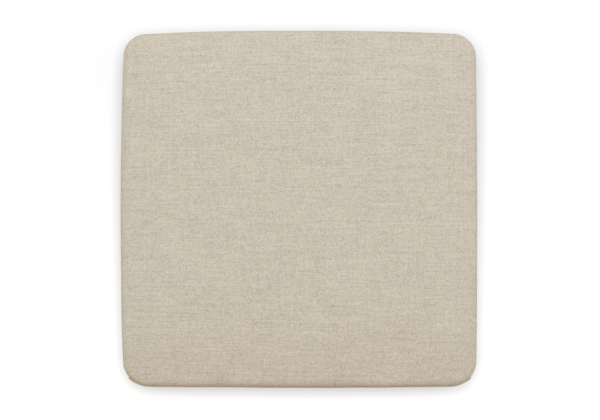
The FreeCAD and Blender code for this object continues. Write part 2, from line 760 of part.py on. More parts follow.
liner_height = size("dust_cover_thick") + size("cover_thick")
liner_window = window("liner_window", "liner_return_half", RAIL_TOP)
cover_window = window("cover_window", "cover_return_half", RAIL_TOP)
nodes += [
    cut("wadding_wrap", wadding_outside, core),
    cut("calico_liner", liner_outside, wadding_outside, liner_window),
    group_of(
        "liner_staples",
        short_staple,
        square_run("liner", "liner_staple_row", liner_height, driven_up),
    ),
    cut("seat_cover", cover_outside, liner_outside, cover_window),
    group_of(
        "cover_staples",
        short_staple,
        square_run("cover", "cover_staple_row", size("dust_cover_thick"), driven_up),
    ),
    dust_cover(),
    group_of(
        "dust_cover_staples",
        short_staple,
        square_run("dust_cover", "dust_staple_row", 0, driven_up),
    ),
]
doc.recompute()

for thing in doc.Objects:
    faults = [state for state in thing.State if state in ("Invalid", "Error")]
    if faults:
        raise RuntimeError(f"{thing.Label} did not build: {faults}")

os.makedirs("parts", exist_ok=True)
for node in nodes:
    shape = node.Shape
    if shape.isNull() or not shape.isValid():
        raise RuntimeError(f"{node.Label} has no valid shape")
    shape.exportStep(f"parts/{node.Label}.step")
    box = shape.BoundBox
    print(
        f"{node.Label:30s} solids {len(shape.Solids):3d}  volume {shape.Volume:12.1f}  "
        f"x {box.XMin:8.2f} {box.XMax:8.2f}  y {box.YMin:8.2f} {box.YMax:8.2f}  "
        f"z {box.ZMin:7.2f} {box.ZMax:7.2f}"
    )
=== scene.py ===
# %% [markdown]
# # A wrapped dining-chair seat pad
#
# The real seat is a small piece of upholstery. Four dowelled beech rails carry crossed
# webbing and hessian, then foam, wadding and calico, and one piece of oatmeal linen-look
# cloth is pulled over the lot and stapled underneath, where a black dust cover closes it.
# The engineering model already holds every piece at its real size. This lesson keeps its
# rails, dowels and tee nuts, and makes the cloth, the stuffing and the staples again with
# the detail that a plain solid lacks.

# %% Load the frame
import math

import bpy
import numpy as np
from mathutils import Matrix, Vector, noise


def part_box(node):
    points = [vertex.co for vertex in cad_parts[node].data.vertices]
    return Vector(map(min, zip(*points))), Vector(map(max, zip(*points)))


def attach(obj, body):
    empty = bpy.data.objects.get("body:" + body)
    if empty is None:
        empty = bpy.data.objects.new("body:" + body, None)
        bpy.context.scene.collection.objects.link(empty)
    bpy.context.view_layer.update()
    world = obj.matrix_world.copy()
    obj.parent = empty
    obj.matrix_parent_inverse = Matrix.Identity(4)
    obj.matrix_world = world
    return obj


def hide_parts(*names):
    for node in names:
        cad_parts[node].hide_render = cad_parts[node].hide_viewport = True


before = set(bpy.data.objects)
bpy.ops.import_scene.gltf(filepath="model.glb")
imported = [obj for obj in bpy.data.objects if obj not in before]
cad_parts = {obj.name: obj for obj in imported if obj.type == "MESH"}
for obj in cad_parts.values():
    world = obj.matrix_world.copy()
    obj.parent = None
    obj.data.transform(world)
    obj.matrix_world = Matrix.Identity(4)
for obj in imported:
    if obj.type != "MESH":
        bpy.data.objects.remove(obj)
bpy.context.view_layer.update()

# %% [markdown]
# ## Sizes
#
# Everything is in metres, because the frame is. Small sizes read better in millimetres, so
# one factor turns them round. Whatever the frame can tell is asked of it, and only the
# things it does not know, such as how far a seam puffs out, are written here.

# %% Sizes from the frame
MM = 0.001
# Keeps a division from meeting zero
TINY = 1e-9
cover_low, cover_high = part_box("seat_cover")
foam_low, foam_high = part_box("seat_foam")
liner_low, liner_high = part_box("calico_liner")
wadding_low, wadding_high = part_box("wadding_wrap")
hessian_low, hessian_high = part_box("hessian_panel")

SIDE_BOW = 3.2 * MM
HALF = cover_high[0] - SIDE_BOW
TOP = cover_high[2]
UNDER = cover_low[2]
COVER_THICK = cover_high[2] - liner_high[2]
LINER_THICK = liner_high[2] - wadding_high[2]
WADDING_THICK = wadding_high[2] - foam_high[2]
print("half a side at the corners:", round(HALF, 4), "top:", round(TOP, 4))

# %% [markdown]
# ## The camera
#
# The seat is seen from almost straight above with a long lens, which keeps its sides nearly
# parallel. A long lens far away is better here than an orthographic camera, because the
# slight lean towards the front edge then shows a little of that edge, as a real lens does.

# %% Camera
LENS = 100.0
SENSOR = 36.0
FRAME_WIDTH = 0.7545
TILT = math.radians(4.5)
# The aim lies a little in front of the seat's middle and near its top
AIM_FORWARD = 1.6 * MM
AIM_HEIGHT = 0.75 * TOP
AIM = Vector((0.0, -AIM_FORWARD, AIM_HEIGHT))

distance = FRAME_WIDTH * LENS / SENSOR
camera_data = bpy.data.cameras.new("seat_camera")
camera_data.lens = LENS
camera_data.sensor_width = SENSOR
camera = bpy.data.objects.new("seat_camera", camera_data)
bpy.context.collection.objects.link(camera)
toward = Vector((0.0, -math.sin(TILT), math.cos(TILT)))
camera.location = AIM + toward * distance
camera.rotation_euler = (TILT, 0.0, 0.0)
bpy.context.scene.camera = camera
print("camera distance:", round(distance, 3))

# %% [markdown]
# ## Small tools for shaders
#
# A material is a small program of nodes, and so is the light of the room. These helpers add
# one node each, so that a recipe further down reads as a list of steps. Patterns that several
# cloths share become node groups with named inputs and outputs. A group here only ever gives
# out a colour, a mask or a height. The shader itself stays in each material.

# %% Shader helpers
def add_node(tree, kind, **settings):
    """One node with its settings."""
    node = tree.nodes.new(kind)
    for key, value in settings.items():
        setattr(node, key, value)
    return node


def feed(tree, socket, source):
    """Links a socket to another, or gives it a plain value."""
    if isinstance(source, bpy.types.NodeSocket):
        tree.links.new(source, socket)
    elif source is not None:
        socket.default_value = source


def maths(tree, operation, first, second=None, third=None):
    """A Math node's result."""
    node = add_node(tree, "ShaderNodeMath", operation=operation)
    for socket, source in zip(node.inputs, (first, second, third)):
        feed(tree, socket, source)
    return node.outputs[0]


def spread(tree, value, low, high, new_low=0.0, new_high=1.0):
    """Maps one range onto another, smoothly and clamped."""
    node = add_node(tree, "ShaderNodeMapRange", interpolation_type="SMOOTHSTEP")
    for name, source in zip(
        ("Value", "From Min", "From Max", "To Min", "To Max"), (value, low, high, new_low, new_high)
    ):
        feed(tree, node.inputs[name], source)
    return node.outputs["Result"]


def blend_colours(tree, amount, first, second, kind="MIX"):
    """Two colours mixed by an amount."""
    node = add_node(tree, "ShaderNodeMix", data_type="RGBA", blend_type=kind)
    feed(tree, node.inputs[0], amount)
    feed(tree, node.inputs[6], first)
    feed(tree, node.inputs[7], second)
    return node.outputs[2]


def blend_values(tree, amount, first, second):
    """Two plain values mixed by an amount."""
    node = add_node(tree, "ShaderNodeMix", data_type="FLOAT")
    feed(tree, node.inputs[0], amount)
    feed(tree, node.inputs[2], first)
    feed(tree, node.inputs[3], second)
    return node.outputs[0]


def shaded(tree, colour, shade):
    """A colour made darker by a shade from 0 to 1."""
    return blend_colours(tree, 1.0, colour, joined(tree, shade, shade, shade), kind="MULTIPLY")


def stretched(tree, vector, scale):
    """A vector with each axis scaled."""
    node = add_node(tree, "ShaderNodeVectorMath", operation="MULTIPLY")
    feed(tree, node.inputs[0], vector)
    node.inputs[1].default_value = scale
    return node.outputs[0]


def clouds(tree, vector, scale, detail=2.0, roughness=0.5, distortion=0.0):
    """Noise from 0 to 1, as a plain value."""
    node = add_node(tree, "ShaderNodeTexNoise")
    feed(tree, node.inputs["Vector"], vector)
    node.inputs["Scale"].default_value = scale
    node.inputs["Detail"].default_value = detail
    node.inputs["Roughness"].default_value = roughness
    node.inputs["Distortion"].default_value = distortion
    return node.outputs["Fac"]


def split(tree, vector):
    """The three numbers of a vector."""
    node = add_node(tree, "ShaderNodeSeparateXYZ")
    feed(tree, node.inputs[0], vector)
    return node.outputs[0], node.outputs[1], node.outputs[2]


def joined(tree, x, y, z=0.0):
    """A vector from three numbers."""
    node = add_node(tree, "ShaderNodeCombineXYZ")
    for socket, source in zip(node.inputs, (x, y, z)):
        feed(tree, socket, source)
    return node.outputs[0]


def new_group(name, inputs, outputs):
    """A shader group with named sockets: kind, name and default for each input."""
    tree = bpy.data.node_groups.new(name, "ShaderNodeTree")
    for kind, label, default in inputs:
        socket = tree.interface.new_socket(label, in_out="INPUT", socket_type=kind)
        if default is not None:
            socket.default_value = default
    for kind, label in outputs:
        tree.interface.new_socket(label, in_out="OUTPUT", socket_type=kind)
    entry = tree.nodes.new("NodeGroupInput")
    leave = tree.nodes.new("NodeGroupOutput")
    return tree, entry.outputs, leave.inputs


def use_group(tree, group, **values):
    """Places a group in a material with its own values; underscores stand for spaces."""
    node = add_node(tree, "ShaderNodeGroup", node_tree=group)
    for key, source in values.items():
        feed(tree, node.inputs[key.replace("_", " ")], source)
    return node.outputs


def new_material(name, roughness, **shader_values):
    """A material with a Principled shader, and the sockets most used."""
    material = bpy.data.materials.new(name)
    material.use_nodes = True
    tree = material.node_tree
    shader = tree.nodes["Principled BSDF"]
    shader.inputs["Roughness"].default_value = roughness
    for key, value in shader_values.items():
        shader.inputs[key.replace("_", " ")].default_value = value
    return material, tree, shader


def bumped(tree, shader, height, strength, depth):
    """Feeds a height, in metres of depth, into the shader's normal."""
    node = add_node(tree, "ShaderNodeBump")
    node.inputs["Strength"].default_value = strength
    node.inputs["Distance"].default_value = depth
    feed(tree, node.inputs["Height"], height)
    feed(tree, shader.inputs["Normal"], node.outputs["Normal"])


print("shader helpers ready")

# %% [markdown]
# ## The light
#
# A pale room lights the cloth from all round. A very large cool light hangs above and a
# little behind the seat, and two smaller ones stand low at its sides, so that the back and
# the sides stay as bright as the top. Only a weak warm lamp lies in front, near the floor,
# which leaves the front edge in a warm shade. The room's front wall is warm and dim for the
# same reason. The standard view keeps the cloth's own colour, where a film look would grey it.

# %% Light
WORLD_STRENGTH = 0.675
WORLD_SEEN = 1.1
ROOM_COLOUR = (1.035, 1.025, 1.015, 1.0)
FRONT_WALL_COLOUR = (0.54, 0.40, 0.235, 1.0)
PLAIN_WHITE = (1.0, 1.0, 1.0, 1.0)
# How far towards the front a direction points where the front wall starts and where it is full
WALL_STARTS = -0.1
WALL_FULL = -0.9
scene = bpy.context.scene
scene.view_settings.view_transform = "Standard"
scene.view_settings.look = "None"


def paint_room(room):
    """A pale room with a warm, dim front wall, which looks plain white where it is seen itself."""
    sky = room.nodes["Background"]
    direction = add_node(room, "ShaderNodeTexCoord").outputs["Generated"]
    wall_share = spread(room, split(room, direction)[1], WALL_STARTS, WALL_FULL)
    seen = add_node(room, "ShaderNodeLightPath").outputs["Is Camera Ray"]
    walls = blend_colours(room, wall_share, ROOM_COLOUR, FRONT_WALL_COLOUR)
    feed(room, sky.inputs["Color"], blend_colours(room, seen, walls, PLAIN_WHITE))
    extra = WORLD_SEEN - WORLD_STRENGTH
    feed(room, sky.inputs["Strength"], maths(room, "MULTIPLY_ADD", seen, extra, WORLD_STRENGTH))


world = bpy.data.worlds.new("white_room")
world.use_nodes = True
paint_room(world.node_tree)
scene.world = world


def soft_light(name, place, aim, size, power, colour):
    """A square area light that looks at a point."""
    data = bpy.data.lights.new(name, "AREA")
    data.shape = "SQUARE"
    data.size = size
    data.energy = power
    data.color = colour
    lamp = bpy.data.objects.new(name, data)
    lamp.location = place
    look = Vector(aim) - Vector(place)
    lamp.rotation_euler = look.to_track_quat("-Z", "Y").to_euler()
    lamp.visible_camera = False
    bpy.context.collection.objects.link(lamp)
    return lamp


COOL = (0.955, 0.975, 1.0)
WARM = (1.0, 0.74, 0.46)
SEAT_MIDDLE = (0.0, 0.0, 0.0)
FRONT_FOOT = (0.0, -HALF, 0.0)
# Name, where it hangs, what it looks at, its size in metres, its power in watts, its colour
LIGHTS = [
    ("overhead", (0.05, 1.15, 2.9), SEAT_MIDDLE, 2.4, 80.5, COOL),
    ("left_strip", (-2.0, 0.3, 0.9), SEAT_MIDDLE, 1.2, 17.0, COOL),
    ("right_strip", (2.0, 0.3, 0.9), SEAT_MIDDLE, 1.2, 19.0, COOL),
    ("front_glow", (0.0, -2.0, 0.25), FRONT_FOOT, 0.5, 10.5, WARM),
]
for light in LIGHTS:
    soft_light(*light)

# %% [markdown]
# ## The weave group
#
# Linen, calico, hessian and webbing are all plain weaves: each thread goes over one and
# under the next. A checkerboard of small cells says which thread is on top, and the top
# thread's round back gives the height. Real threads wander and swell, so the pattern's
# coordinates are nudged by noise first. Painting a cloth flat would do for one distance,
# but this works at any, and each cloth sets its own thread size.

# %% Plain weave group
# How slowly a thread's wander changes along itself and from thread to thread
WANDER_ALONG = 0.07
WANDER_ACROSS = 0.45
WANDER_DEEP = 0.3
WANDER_REACH = 4.0
# How round a thread's back is across itself, and how far it arches along itself
ROUNDNESS = -3.8
ARCH = 1.7
weave_group, weave_in, weave_out = new_group(
    "plain_weave",
    [
        ("NodeSocketVector", "Place", None),
        ("NodeSocketFloat", "Thread", 1.2 * MM),
        ("NodeSocketFloat", "Wander", 0.25),
    ],
    [("NodeSocketFloat", "Height"), ("NodeSocketFloat", "Weft on top"), ("NodeSocketVector", "Cell")],
)


def swayed(tree, place, value, scale, reach):
    """A coordinate nudged by slow noise, as a thread wanders."""
    sway = maths(tree, "SUBTRACT", clouds(tree, stretched(tree, place, scale), 1.0), 0.5)
    return maths(tree, "MULTIPLY_ADD", sway, reach, value)


def thread_back(tree, side, run):
    """Height of the thread on top: round across itself, arched along itself."""
    flat = maths(tree, "MULTIPLY_ADD", maths(tree, "MULTIPLY", side, side), ROUNDNESS, 1.0)
    arch = maths(tree, "COSINE", maths(tree, "MULTIPLY", run, ARCH))
    return maths(tree, "MULTIPLY", maths(tree, "MAXIMUM", flat, 0.0), arch)


def build_weave(tree, entry, leave):
    """Fills the weave group."""
    scaled = add_node(tree, "ShaderNodeVectorMath", operation="SCALE")
    feed(tree, scaled.inputs[0], entry["Place"])
    feed(tree, scaled.inputs["Scale"], maths(tree, "DIVIDE", 1.0, entry["Thread"]))
    threads = scaled.outputs[0]
    x, y, _ = split(tree, threads)
    reach = maths(tree, "MULTIPLY", entry["Wander"], WANDER_REACH)
    x = swayed(tree, threads, x, (WANDER_ACROSS, WANDER_ALONG, WANDER_DEEP), reach)
    y = swayed(tree, threads, y, (WANDER_ALONG, WANDER_ACROSS, WANDER_DEEP), reach)
    column = maths(tree, "FLOOR", x)
    line = maths(tree, "FLOOR", y)
    across = maths(tree, "SUBTRACT", maths(tree, "FRACT", x), 0.5)
    along = maths(tree, "SUBTRACT", maths(tree, "FRACT", y), 0.5)
    odd = maths(tree, "MODULO", maths(tree, "ADD", column, line), 2.0)
    weft_on_top = maths(tree, "ABSOLUTE", odd)
    warp = thread_back(tree, across, along)
    weft = thread_back(tree, along, across)
    feed(tree, leave["Height"], blend_values(tree, weft_on_top, warp, weft))
    feed(tree, leave["Weft on top"], weft_on_top)
    feed(tree, leave["Cell"], joined(tree, column, line))


build_weave(weave_group, weave_in, weave_out)
print("weave group nodes:", len(weave_group.nodes))

# %% [markdown]
# ## The slub group
#
# Slubs are the thick places in a spun yarn. Seen from a step away they join up into short
# soft streaks that run with the thread. They are noise squeezed hard across the thread and
# pulled out along it. Two sizes of streak together stop the eye from finding a repeat.

# %% Slub streak group
# The slow streaks repeat less often than the fine ones: along themselves and across
SLOW_RUN = 0.37
SLOW_CROSS = 0.41
SLOW_SEED = 7.0
SLOW_WEIGHT = 0.45
FINE_WEIGHT = 0.55
slub_group, slub_in, slub_out = new_group(
    "slub_streaks",
    [
        ("NodeSocketVector", "Place", None),
        ("NodeSocketFloat", "Length", 30 * MM),
        ("NodeSocketFloat", "Width", 2 * MM),
    ],
    [("NodeSocketFloat", "Streaks")],
)


def build_slubs(tree, entry, leave):
    """Fills the slub group: the streaks run along X."""
    x, y, z = split(tree, entry["Place"])
    run = maths(tree, "DIVIDE", x, entry["Length"])
    cross = maths(tree, "DIVIDE", y, entry["Width"])
    fine = clouds(tree, joined(tree, run, cross, z), 1.0, detail=1.5, roughness=0.6)
    slow_run = maths(tree, "MULTIPLY", run, SLOW_RUN)
    slow_cross = maths(tree, "MULTIPLY", cross, SLOW_CROSS)
    slow = clouds(tree, joined(tree, slow_run, slow_cross, SLOW_SEED), 1.0)
    fine = maths(tree, "MULTIPLY", fine, FINE_WEIGHT)
    feed(tree, leave["Streaks"], maths(tree, "MULTIPLY_ADD", slow, SLOW_WEIGHT, fine))


build_slubs(slub_group, slub_in, slub_out)
print("slub group nodes:", len(slub_group.nodes))

# %% [markdown]
# ## The cover cloth
#
# The cover is an oatmeal linen look: yarns of cream, beige and grey-brown spun together, so
# every short stretch of thread has its own shade. A random value for every four crossings of
# each thread gives that heather, and the weave group says which of the two threads shows.
# Slub streaks, a slow mottle and rare dark flecks go over it. The pattern follows the piece's
# own flat cloth coordinates, so the threads turn over the edges with the cloth.

# %% Cover material
COVER_THREAD = 1.05 * MM
CROSSINGS_PER_SHADE = 4
WARP_SEED = 5000.0
LIGHT_YARN = (0.546, 0.495, 0.418, 1.0)
DARK_YARN = (0.318, 0.287, 0.235, 1.0)
FLECK_COLOUR = (0.20, 0.145, 0.09, 1.0)
# Length and width of the streaks along the weft, along the warp, and in wider bands
WEFT_STREAK = (30 * MM, 1.1 * MM)
WARP_STREAK = (60 * MM, 1.4 * MM)
BAND_STREAK = (90 * MM, 5.0 * MM)
WARP_SLICE = 3.0
# How strongly each pattern moves the shade between the dark yarn and the light one
YARN_WEIGHT = 0.30
CROSSING_WEIGHT = 0.46
WEFT_STREAK_WEIGHT = 0.98
WARP_STREAK_WEIGHT = 0.38
BAND_WEIGHT = 0.16
MOTTLE_WEIGHT = 0.22
# Painted shade: how dark the gaps between threads are drawn; and how deep the whole relief is
PAINTED_GAP_SHADE = 0.80
RELIEF = 0.36 * MM


def yarn_shade(tree, thread_number, along, seed):
    """A random shade for every few crossings of each thread, from 0 to 1."""
    number = maths(tree, "ADD", thread_number, seed)
    shift = add_node(tree, "ShaderNodeTexWhiteNoise", noise_dimensions="1D")
    feed(tree, shift.inputs["W"], number)
    run = maths(tree, "MULTIPLY_ADD", along, 1 / CROSSINGS_PER_SHADE, shift.outputs["Value"])
    stretch = add_node(tree, "ShaderNodeTexWhiteNoise", noise_dimensions="2D")
    feed(tree, stretch.inputs["Vector"], joined(tree, maths(tree, "FLOOR", run), number))
    return stretch.outputs["Value"]


def streaks_of(tree, place, size):
    """Slub streaks of one length and width."""
    length, width = size
    return use_group(tree, slub_group, Place=place, Length=length, Width=width)["Streaks"]


def flecks(tree, place):
    """Rare short dark flecks: a mask from 0 to 0.5."""
    cells = add_node(tree, "ShaderNodeTexVoronoi", voronoi_dimensions="2D")
    feed(tree, cells.inputs["Vector"], stretched(tree, place, (330.0, 700.0, 1.0)))
    chosen = maths(tree, "GREATER_THAN", clouds(tree, place, 240.0, detail=1.0), 0.66)
    near = maths(tree, "LESS_THAN", cells.outputs["Distance"], 0.34)
    return maths(tree, "MULTIPLY", maths(tree, "MULTIPLY", chosen, near), 0.5)


def linen_material():
    """Oatmeal linen-look cloth, on the cloth's own flat coordinates."""
    material, tree, shader = new_material("linen_cover", 0.92, Sheen_Weight=0.06, Sheen_Roughness=0.55)
    shader.inputs["Specular IOR Level"].default_value = 0.15
    place = add_node(tree, "ShaderNodeUVMap", uv_map="cloth").outputs["UV"]
    weave = use_group(tree, weave_group, Place=place, Thread=COVER_THREAD, Wander=0.3)
    x, y, _ = split(tree, place)
    column, line, _ = split(tree, weave["Cell"])
    weft_shade = yarn_shade(tree, line, column, 0.0)
    warp_shade = yarn_shade(tree, column, line, WARP_SEED)
    yarn = blend_values(tree, weave["Weft on top"], warp_shade, weft_shade)
    random_crossing = add_node(tree, "ShaderNodeTexWhiteNoise", noise_dimensions="2D")
    feed(tree, random_crossing.inputs["Vector"], weave["Cell"])
    crossing = random_crossing.outputs["Value"]
    streaks = streaks_of(tree, place, WEFT_STREAK)

    shade = 0.5
    for pattern, weight in (
        (yarn, YARN_WEIGHT),
        (crossing, CROSSING_WEIGHT),
        (streaks, WEFT_STREAK_WEIGHT),
        (streaks_of(tree, joined(tree, y, x, WARP_SLICE), WARP_STREAK), WARP_STREAK_WEIGHT),
        (streaks_of(tree, place, BAND_STREAK), BAND_WEIGHT),
        (clouds(tree, place, 30.0, detail=3.0, roughness=0.55), MOTTLE_WEIGHT),
    ):
        shade = maths(tree, "MULTIPLY_ADD", maths(tree, "SUBTRACT", pattern, 0.5), weight, shade)
    colour = blend_colours(tree, shade, DARK_YARN, LIGHT_YARN)
    # Painted shade: the low places between threads are darkened by their depth in the weave
    colour = shaded(tree, colour, spread(tree, weave["Height"], 0.0, 0.55, PAINTED_GAP_SHADE, 1.0))
    colour = blend_colours(tree, flecks(tree, place), colour, FLECK_COLOUR)
    feed(tree, shader.inputs["Base Color"], colour)

    fuzz = clouds(tree, place, 2600.0, detail=2.0)
    height = maths(tree, "MULTIPLY", streaks, 0.4)
    for relief, weight in ((weave["Height"], 0.75), (fuzz, 0.22), (crossing, 0.5)):
        height = maths(tree, "MULTIPLY_ADD", relief, weight, height)
    bumped(tree, shader, height, 0.9, RELIEF)
    return material


linen = linen_material()
print("linen nodes:", len(linen.node_tree.nodes))

# %% [markdown]
# ## The other soft finishes
#
# Calico is a fine unbleached weave, and hessian a coarse open one. Webbing is woven tight,
# with a pale guide line near each edge. All three reuse the groups above, each with its own
# thread size, so a new cloth costs only a few numbers.

# %% Calico, hessian and webbing
def object_place(tree):
    """The piece's own coordinates, in metres."""
    return add_node(tree, "ShaderNodeTexCoord").outputs["Object"]


def woven_material(name, light, dark, thread, wander, depth, gap_painted_shade):
    """A plain weave on object coordinates, with its own yarn colours."""
    material, tree, shader = new_material(name, 0.93, Sheen_Weight=0.1)
    shader.inputs["Specular IOR Level"].default_value = 0.2
    place = object_place(tree)
    weave = use_group(tree, weave_group, Place=place, Thread=thread, Wander=wander)
    streaks = streaks_of(tree, place, (thread * 22, thread * 1.4))
    colour = blend_colours(tree, spread(tree, streaks, 0.3, 0.7), dark, light)
    # Painted shade: the gaps between threads are darkened by their depth in the weave
    gaps = spread(tree, weave["Height"], 0.0, 0.6, gap_painted_shade, 1.0)
    feed(tree, shader.inputs["Base Color"], shaded(tree, colour, gaps))
    bumped(tree, shader, weave["Height"], 0.8, depth)
    return material


# The last number of each cloth is the painted shade in the gaps between its threads
CALICO_CLOTH = {
    "light": (0.80, 0.74, 0.62, 1),
    "dark": (0.66, 0.59, 0.46, 1),
    "thread": 0.55 * MM,
    "wander": 0.15,
    "depth": 0.12 * MM,
    "gap_painted_shade": 0.86,
}
HESSIAN_CLOTH = {
    "light": (0.50, 0.37, 0.22, 1),
    "dark": (0.29, 0.20, 0.11, 1),
    "thread": 2.1 * MM,
    "wander": 0.45,
    "depth": 0.6 * MM,
    "gap_painted_shade": 0.22,
}
calico = woven_material("calico", **CALICO_CLOTH)
hessian_cloth = woven_material("hessian", **HESSIAN_CLOTH)
WEBBING_THREAD = 1.1 * MM
GUIDE_FROM_MIDDLE = 14 * MM
GUIDE_HALF_WIDTH = 1.3 * MM


def webbing_material():
    """Black elastic webbing with two pale guide lines, on the strap's own flat coordinates."""
    material, tree, shader = new_material("webbing", 0.78, Sheen_Weight=0.15)
    place = add_node(tree, "ShaderNodeUVMap", uv_map="cloth").outputs["UV"]
    weave = use_group(tree, weave_group, Place=place, Thread=WEBBING_THREAD, Wander=0.08)
    from_middle = maths(tree, "ABSOLUTE", split(tree, place)[1])
    off_line = maths(tree, "ABSOLUTE", maths(tree, "SUBTRACT", from_middle, GUIDE_FROM_MIDDLE))
    guide = maths(tree, "LESS_THAN", off_line, GUIDE_HALF_WIDTH)
    yarn = clouds(tree, stretched(tree, place, (120.0, 900.0, 1.0)), 1.0)
    black = blend_colours(tree, yarn, (0.012, 0.012, 0.014, 1), (0.045, 0.045, 0.05, 1))
    colour = blend_colours(tree, guide, black, (0.52, 0.44, 0.33, 1))
    feed(tree, shader.inputs["Base Color"], colour)
    bumped(tree, shader, weave["Height"], 0.8, 0.3 * MM)
    return material


webbing = webbing_material()
print("woven materials:", calico.name, hessian_cloth.name, webbing.name)

# %% [markdown]
# ## Finishes without threads
#
# Wadding is loose fibre and foam is all small bubbles. The dust cover is a non-woven: fibres
# pressed together and spot-welded in a fine diamond grid. Stretched noise gives fibres, a
# cell pattern gives bubbles, and two crossed waves give the weld spots.

# %% Wadding, foam and dust cover
WELD_STEP = 2.2 * MM


def wadding_material():
    """White polyester fibre: soft clumps with fine hairs over them."""
    material, tree, shader = new_material("wadding", 0.95, Sheen_Weight=0.5)
    place = object_place(tree)
    clumps = clouds(tree, place, 90.0, detail=4.0, roughness=0.65, distortion=0.6)
    hairs = clouds(tree, stretched(tree, place, (900.0, 240.0, 500.0)), 1.0, detail=3.0, distortion=1.5)
    mixed = maths(tree, "MULTIPLY_ADD", hairs, 0.4, maths(tree, "MULTIPLY", clumps, 0.6))
    shade = spread(tree, mixed, 0.3, 0.7)
    colour = blend_colours(tree, shade, (0.76, 0.76, 0.75, 1), (0.92, 0.92, 0.91, 1))
    feed(tree, shader.inputs["Base Color"], colour)
    bumped(tree, shader, mixed, 0.8, 1.2 * MM)
    return material


def foam_material():
    """Cream seat foam, all small open cells, with painted shade in their hollows."""
    material, tree, shader = new_material("foam", 0.9)
    place = object_place(tree)
    cells = add_node(tree, "ShaderNodeTexVoronoi", feature="SMOOTH_F1")
    feed(tree, cells.inputs["Vector"], place)
    cells.inputs["Scale"].default_value = 850.0
    pits = spread(tree, cells.outputs["Distance"], 0.1, 0.75)
    age = clouds(tree, place, 22.0, detail=3.0)
    tone = blend_colours(tree, age, (0.84, 0.75, 0.50, 1), (0.88, 0.82, 0.62, 1))
    # Painted shade: the hollows of the open cells are drawn darker
    feed(tree, shader.inputs["Base Color"], shaded(tree, tone, spread(tree, pits, 0.0, 1.0, 0.72, 1.0)))
    bumped(tree, shader, pits, 0.7, 0.4 * MM)
    return material


def dust_material():
    """Black spunbond: pressed fibres with a diamond grid of weld spots."""
    material, tree, shader = new_material("dust_cover", 0.82, Sheen_Weight=0.25)
    place = object_place(tree)
    x, y, _ = split(tree, place)
    waves_per_metre = math.pi / WELD_STEP
    first = maths(tree, "SINE", maths(tree, "MULTIPLY", maths(tree, "ADD", x, y), waves_per_metre))
    second = maths(tree, "SINE", maths(tree, "MULTIPLY", maths(tree, "SUBTRACT", x, y), waves_per_metre))
    spots = spread(tree, maths(tree, "ABSOLUTE", maths(tree, "MULTIPLY", first, second)), 0.45, 0.85)
    fibres = clouds(tree, place, 700.0, detail=4.0, roughness=0.7, distortion=2.0)
    tone = spread(tree, fibres, 0.3, 0.7)
    colour = blend_colours(tree, tone, (0.012, 0.012, 0.013, 1), (0.050, 0.050, 0.054, 1))
    feed(tree, shader.inputs["Base Color"], blend_colours(tree, spots, colour, (0.010, 0.010, 0.011, 1)))
    rough = spread(tree, spots, 0.0, 1.0, 0.86, 0.55)
    feed(tree, shader.inputs["Roughness"], rough)
    height = maths(tree, "MULTIPLY_ADD", spots, -0.7, maths(tree, "MULTIPLY", fibres, 0.5))
    bumped(tree, shader, height, 0.6, 0.15 * MM)
    return material


wadding_fibre = wadding_material()
foam_cream = foam_material()
dust_black = dust_material()
print("soft materials:", wadding_fibre.name, foam_cream.name, dust_black.name)

# %% [markdown]
# ## Beech and steel
#
# The rails are steamed beech, a pale pinkish wood with short darker flecks along the grain.
# Grain is noise stretched along the rail, and since the side rails lie across the others,
# their pattern is turned a quarter by a Mapping node. The tee nuts are zinc plated, which
# leaves a slightly cloudy shine, and the staples are drawn wire.

# %% Wood and metal
def beech_material(name, quarter):
    """Beech with its grain along X, turned by a number of quarter turns."""
    material, tree, shader = new_material(name, 0.55)
    mapping = add_node(tree, "ShaderNodeMapping")
    mapping.inputs["Rotation"].default_value = (0.0, 0.0, quarter * math.pi / 2)
    feed(tree, mapping.inputs["Vector"], object_place(tree))
    place = mapping.outputs[0]
    bands = clouds(tree, stretched(tree, place, (3.0, 55.0, 80.0)), 1.0, detail=3.0, distortion=0.8)
    grain = clouds(tree, stretched(tree, place, (26.0, 900.0, 900.0)), 1.0, detail=3.0)
    flecks = add_node(tree, "ShaderNodeTexVoronoi")
    feed(tree, flecks.inputs["Vector"], stretched(tree, place, (160.0, 1300.0, 1300.0)))
    fleck = spread(tree, flecks.outputs["Distance"], 0.12, 0.30, 1.0, 0.0)
    tone = blend_colours(tree, bands, (0.50, 0.32, 0.185, 1), (0.68, 0.49, 0.315, 1))
    tone = blend_colours(tree, maths(tree, "MULTIPLY", grain, 0.35), tone, (0.40, 0.245, 0.135, 1))
    tone = blend_colours(tree, maths(tree, "MULTIPLY", fleck, 0.45), tone, (0.33, 0.19, 0.10, 1))
    feed(tree, shader.inputs["Base Color"], tone)
    feed(tree, shader.inputs["Roughness"], spread(tree, grain, 0.2, 0.8, 0.48, 0.66))
    bumped(tree, shader, grain, 0.35, 0.1 * MM)
    return material


def steel_material(name, light, dark, roughness, scale):
    """Plated or drawn steel with a cloudy shine."""
    material, tree, shader = new_material(name, roughness, Metallic=1.0)
    place = object_place(tree)
    cloud = clouds(tree, place, scale, detail=4.0, roughness=0.6)
    feed(tree, shader.inputs["Base Color"], blend_colours(tree, cloud, dark, light))
    clouded = spread(tree, cloud, 0.25, 0.75, roughness - 0.08, roughness + 0.12)
    feed(tree, shader.inputs["Roughness"], clouded)
    bumped(tree, shader, cloud, 0.2, 0.05 * MM)
    return material


beech_long = beech_material("beech_lengthways", 0)
beech_cross = beech_material("beech_crossways", 1)
zinc = steel_material("zinc_steel", (0.78, 0.79, 0.80, 1), (0.52, 0.53, 0.55, 1), 0.36, 420.0)
wire = steel_material("staple_wire", (0.74, 0.74, 0.74, 1), (0.55, 0.54, 0.53, 1), 0.30, 1500.0)
print("hard materials:", beech_long.name, beech_cross.name, zinc.name, wire.name)

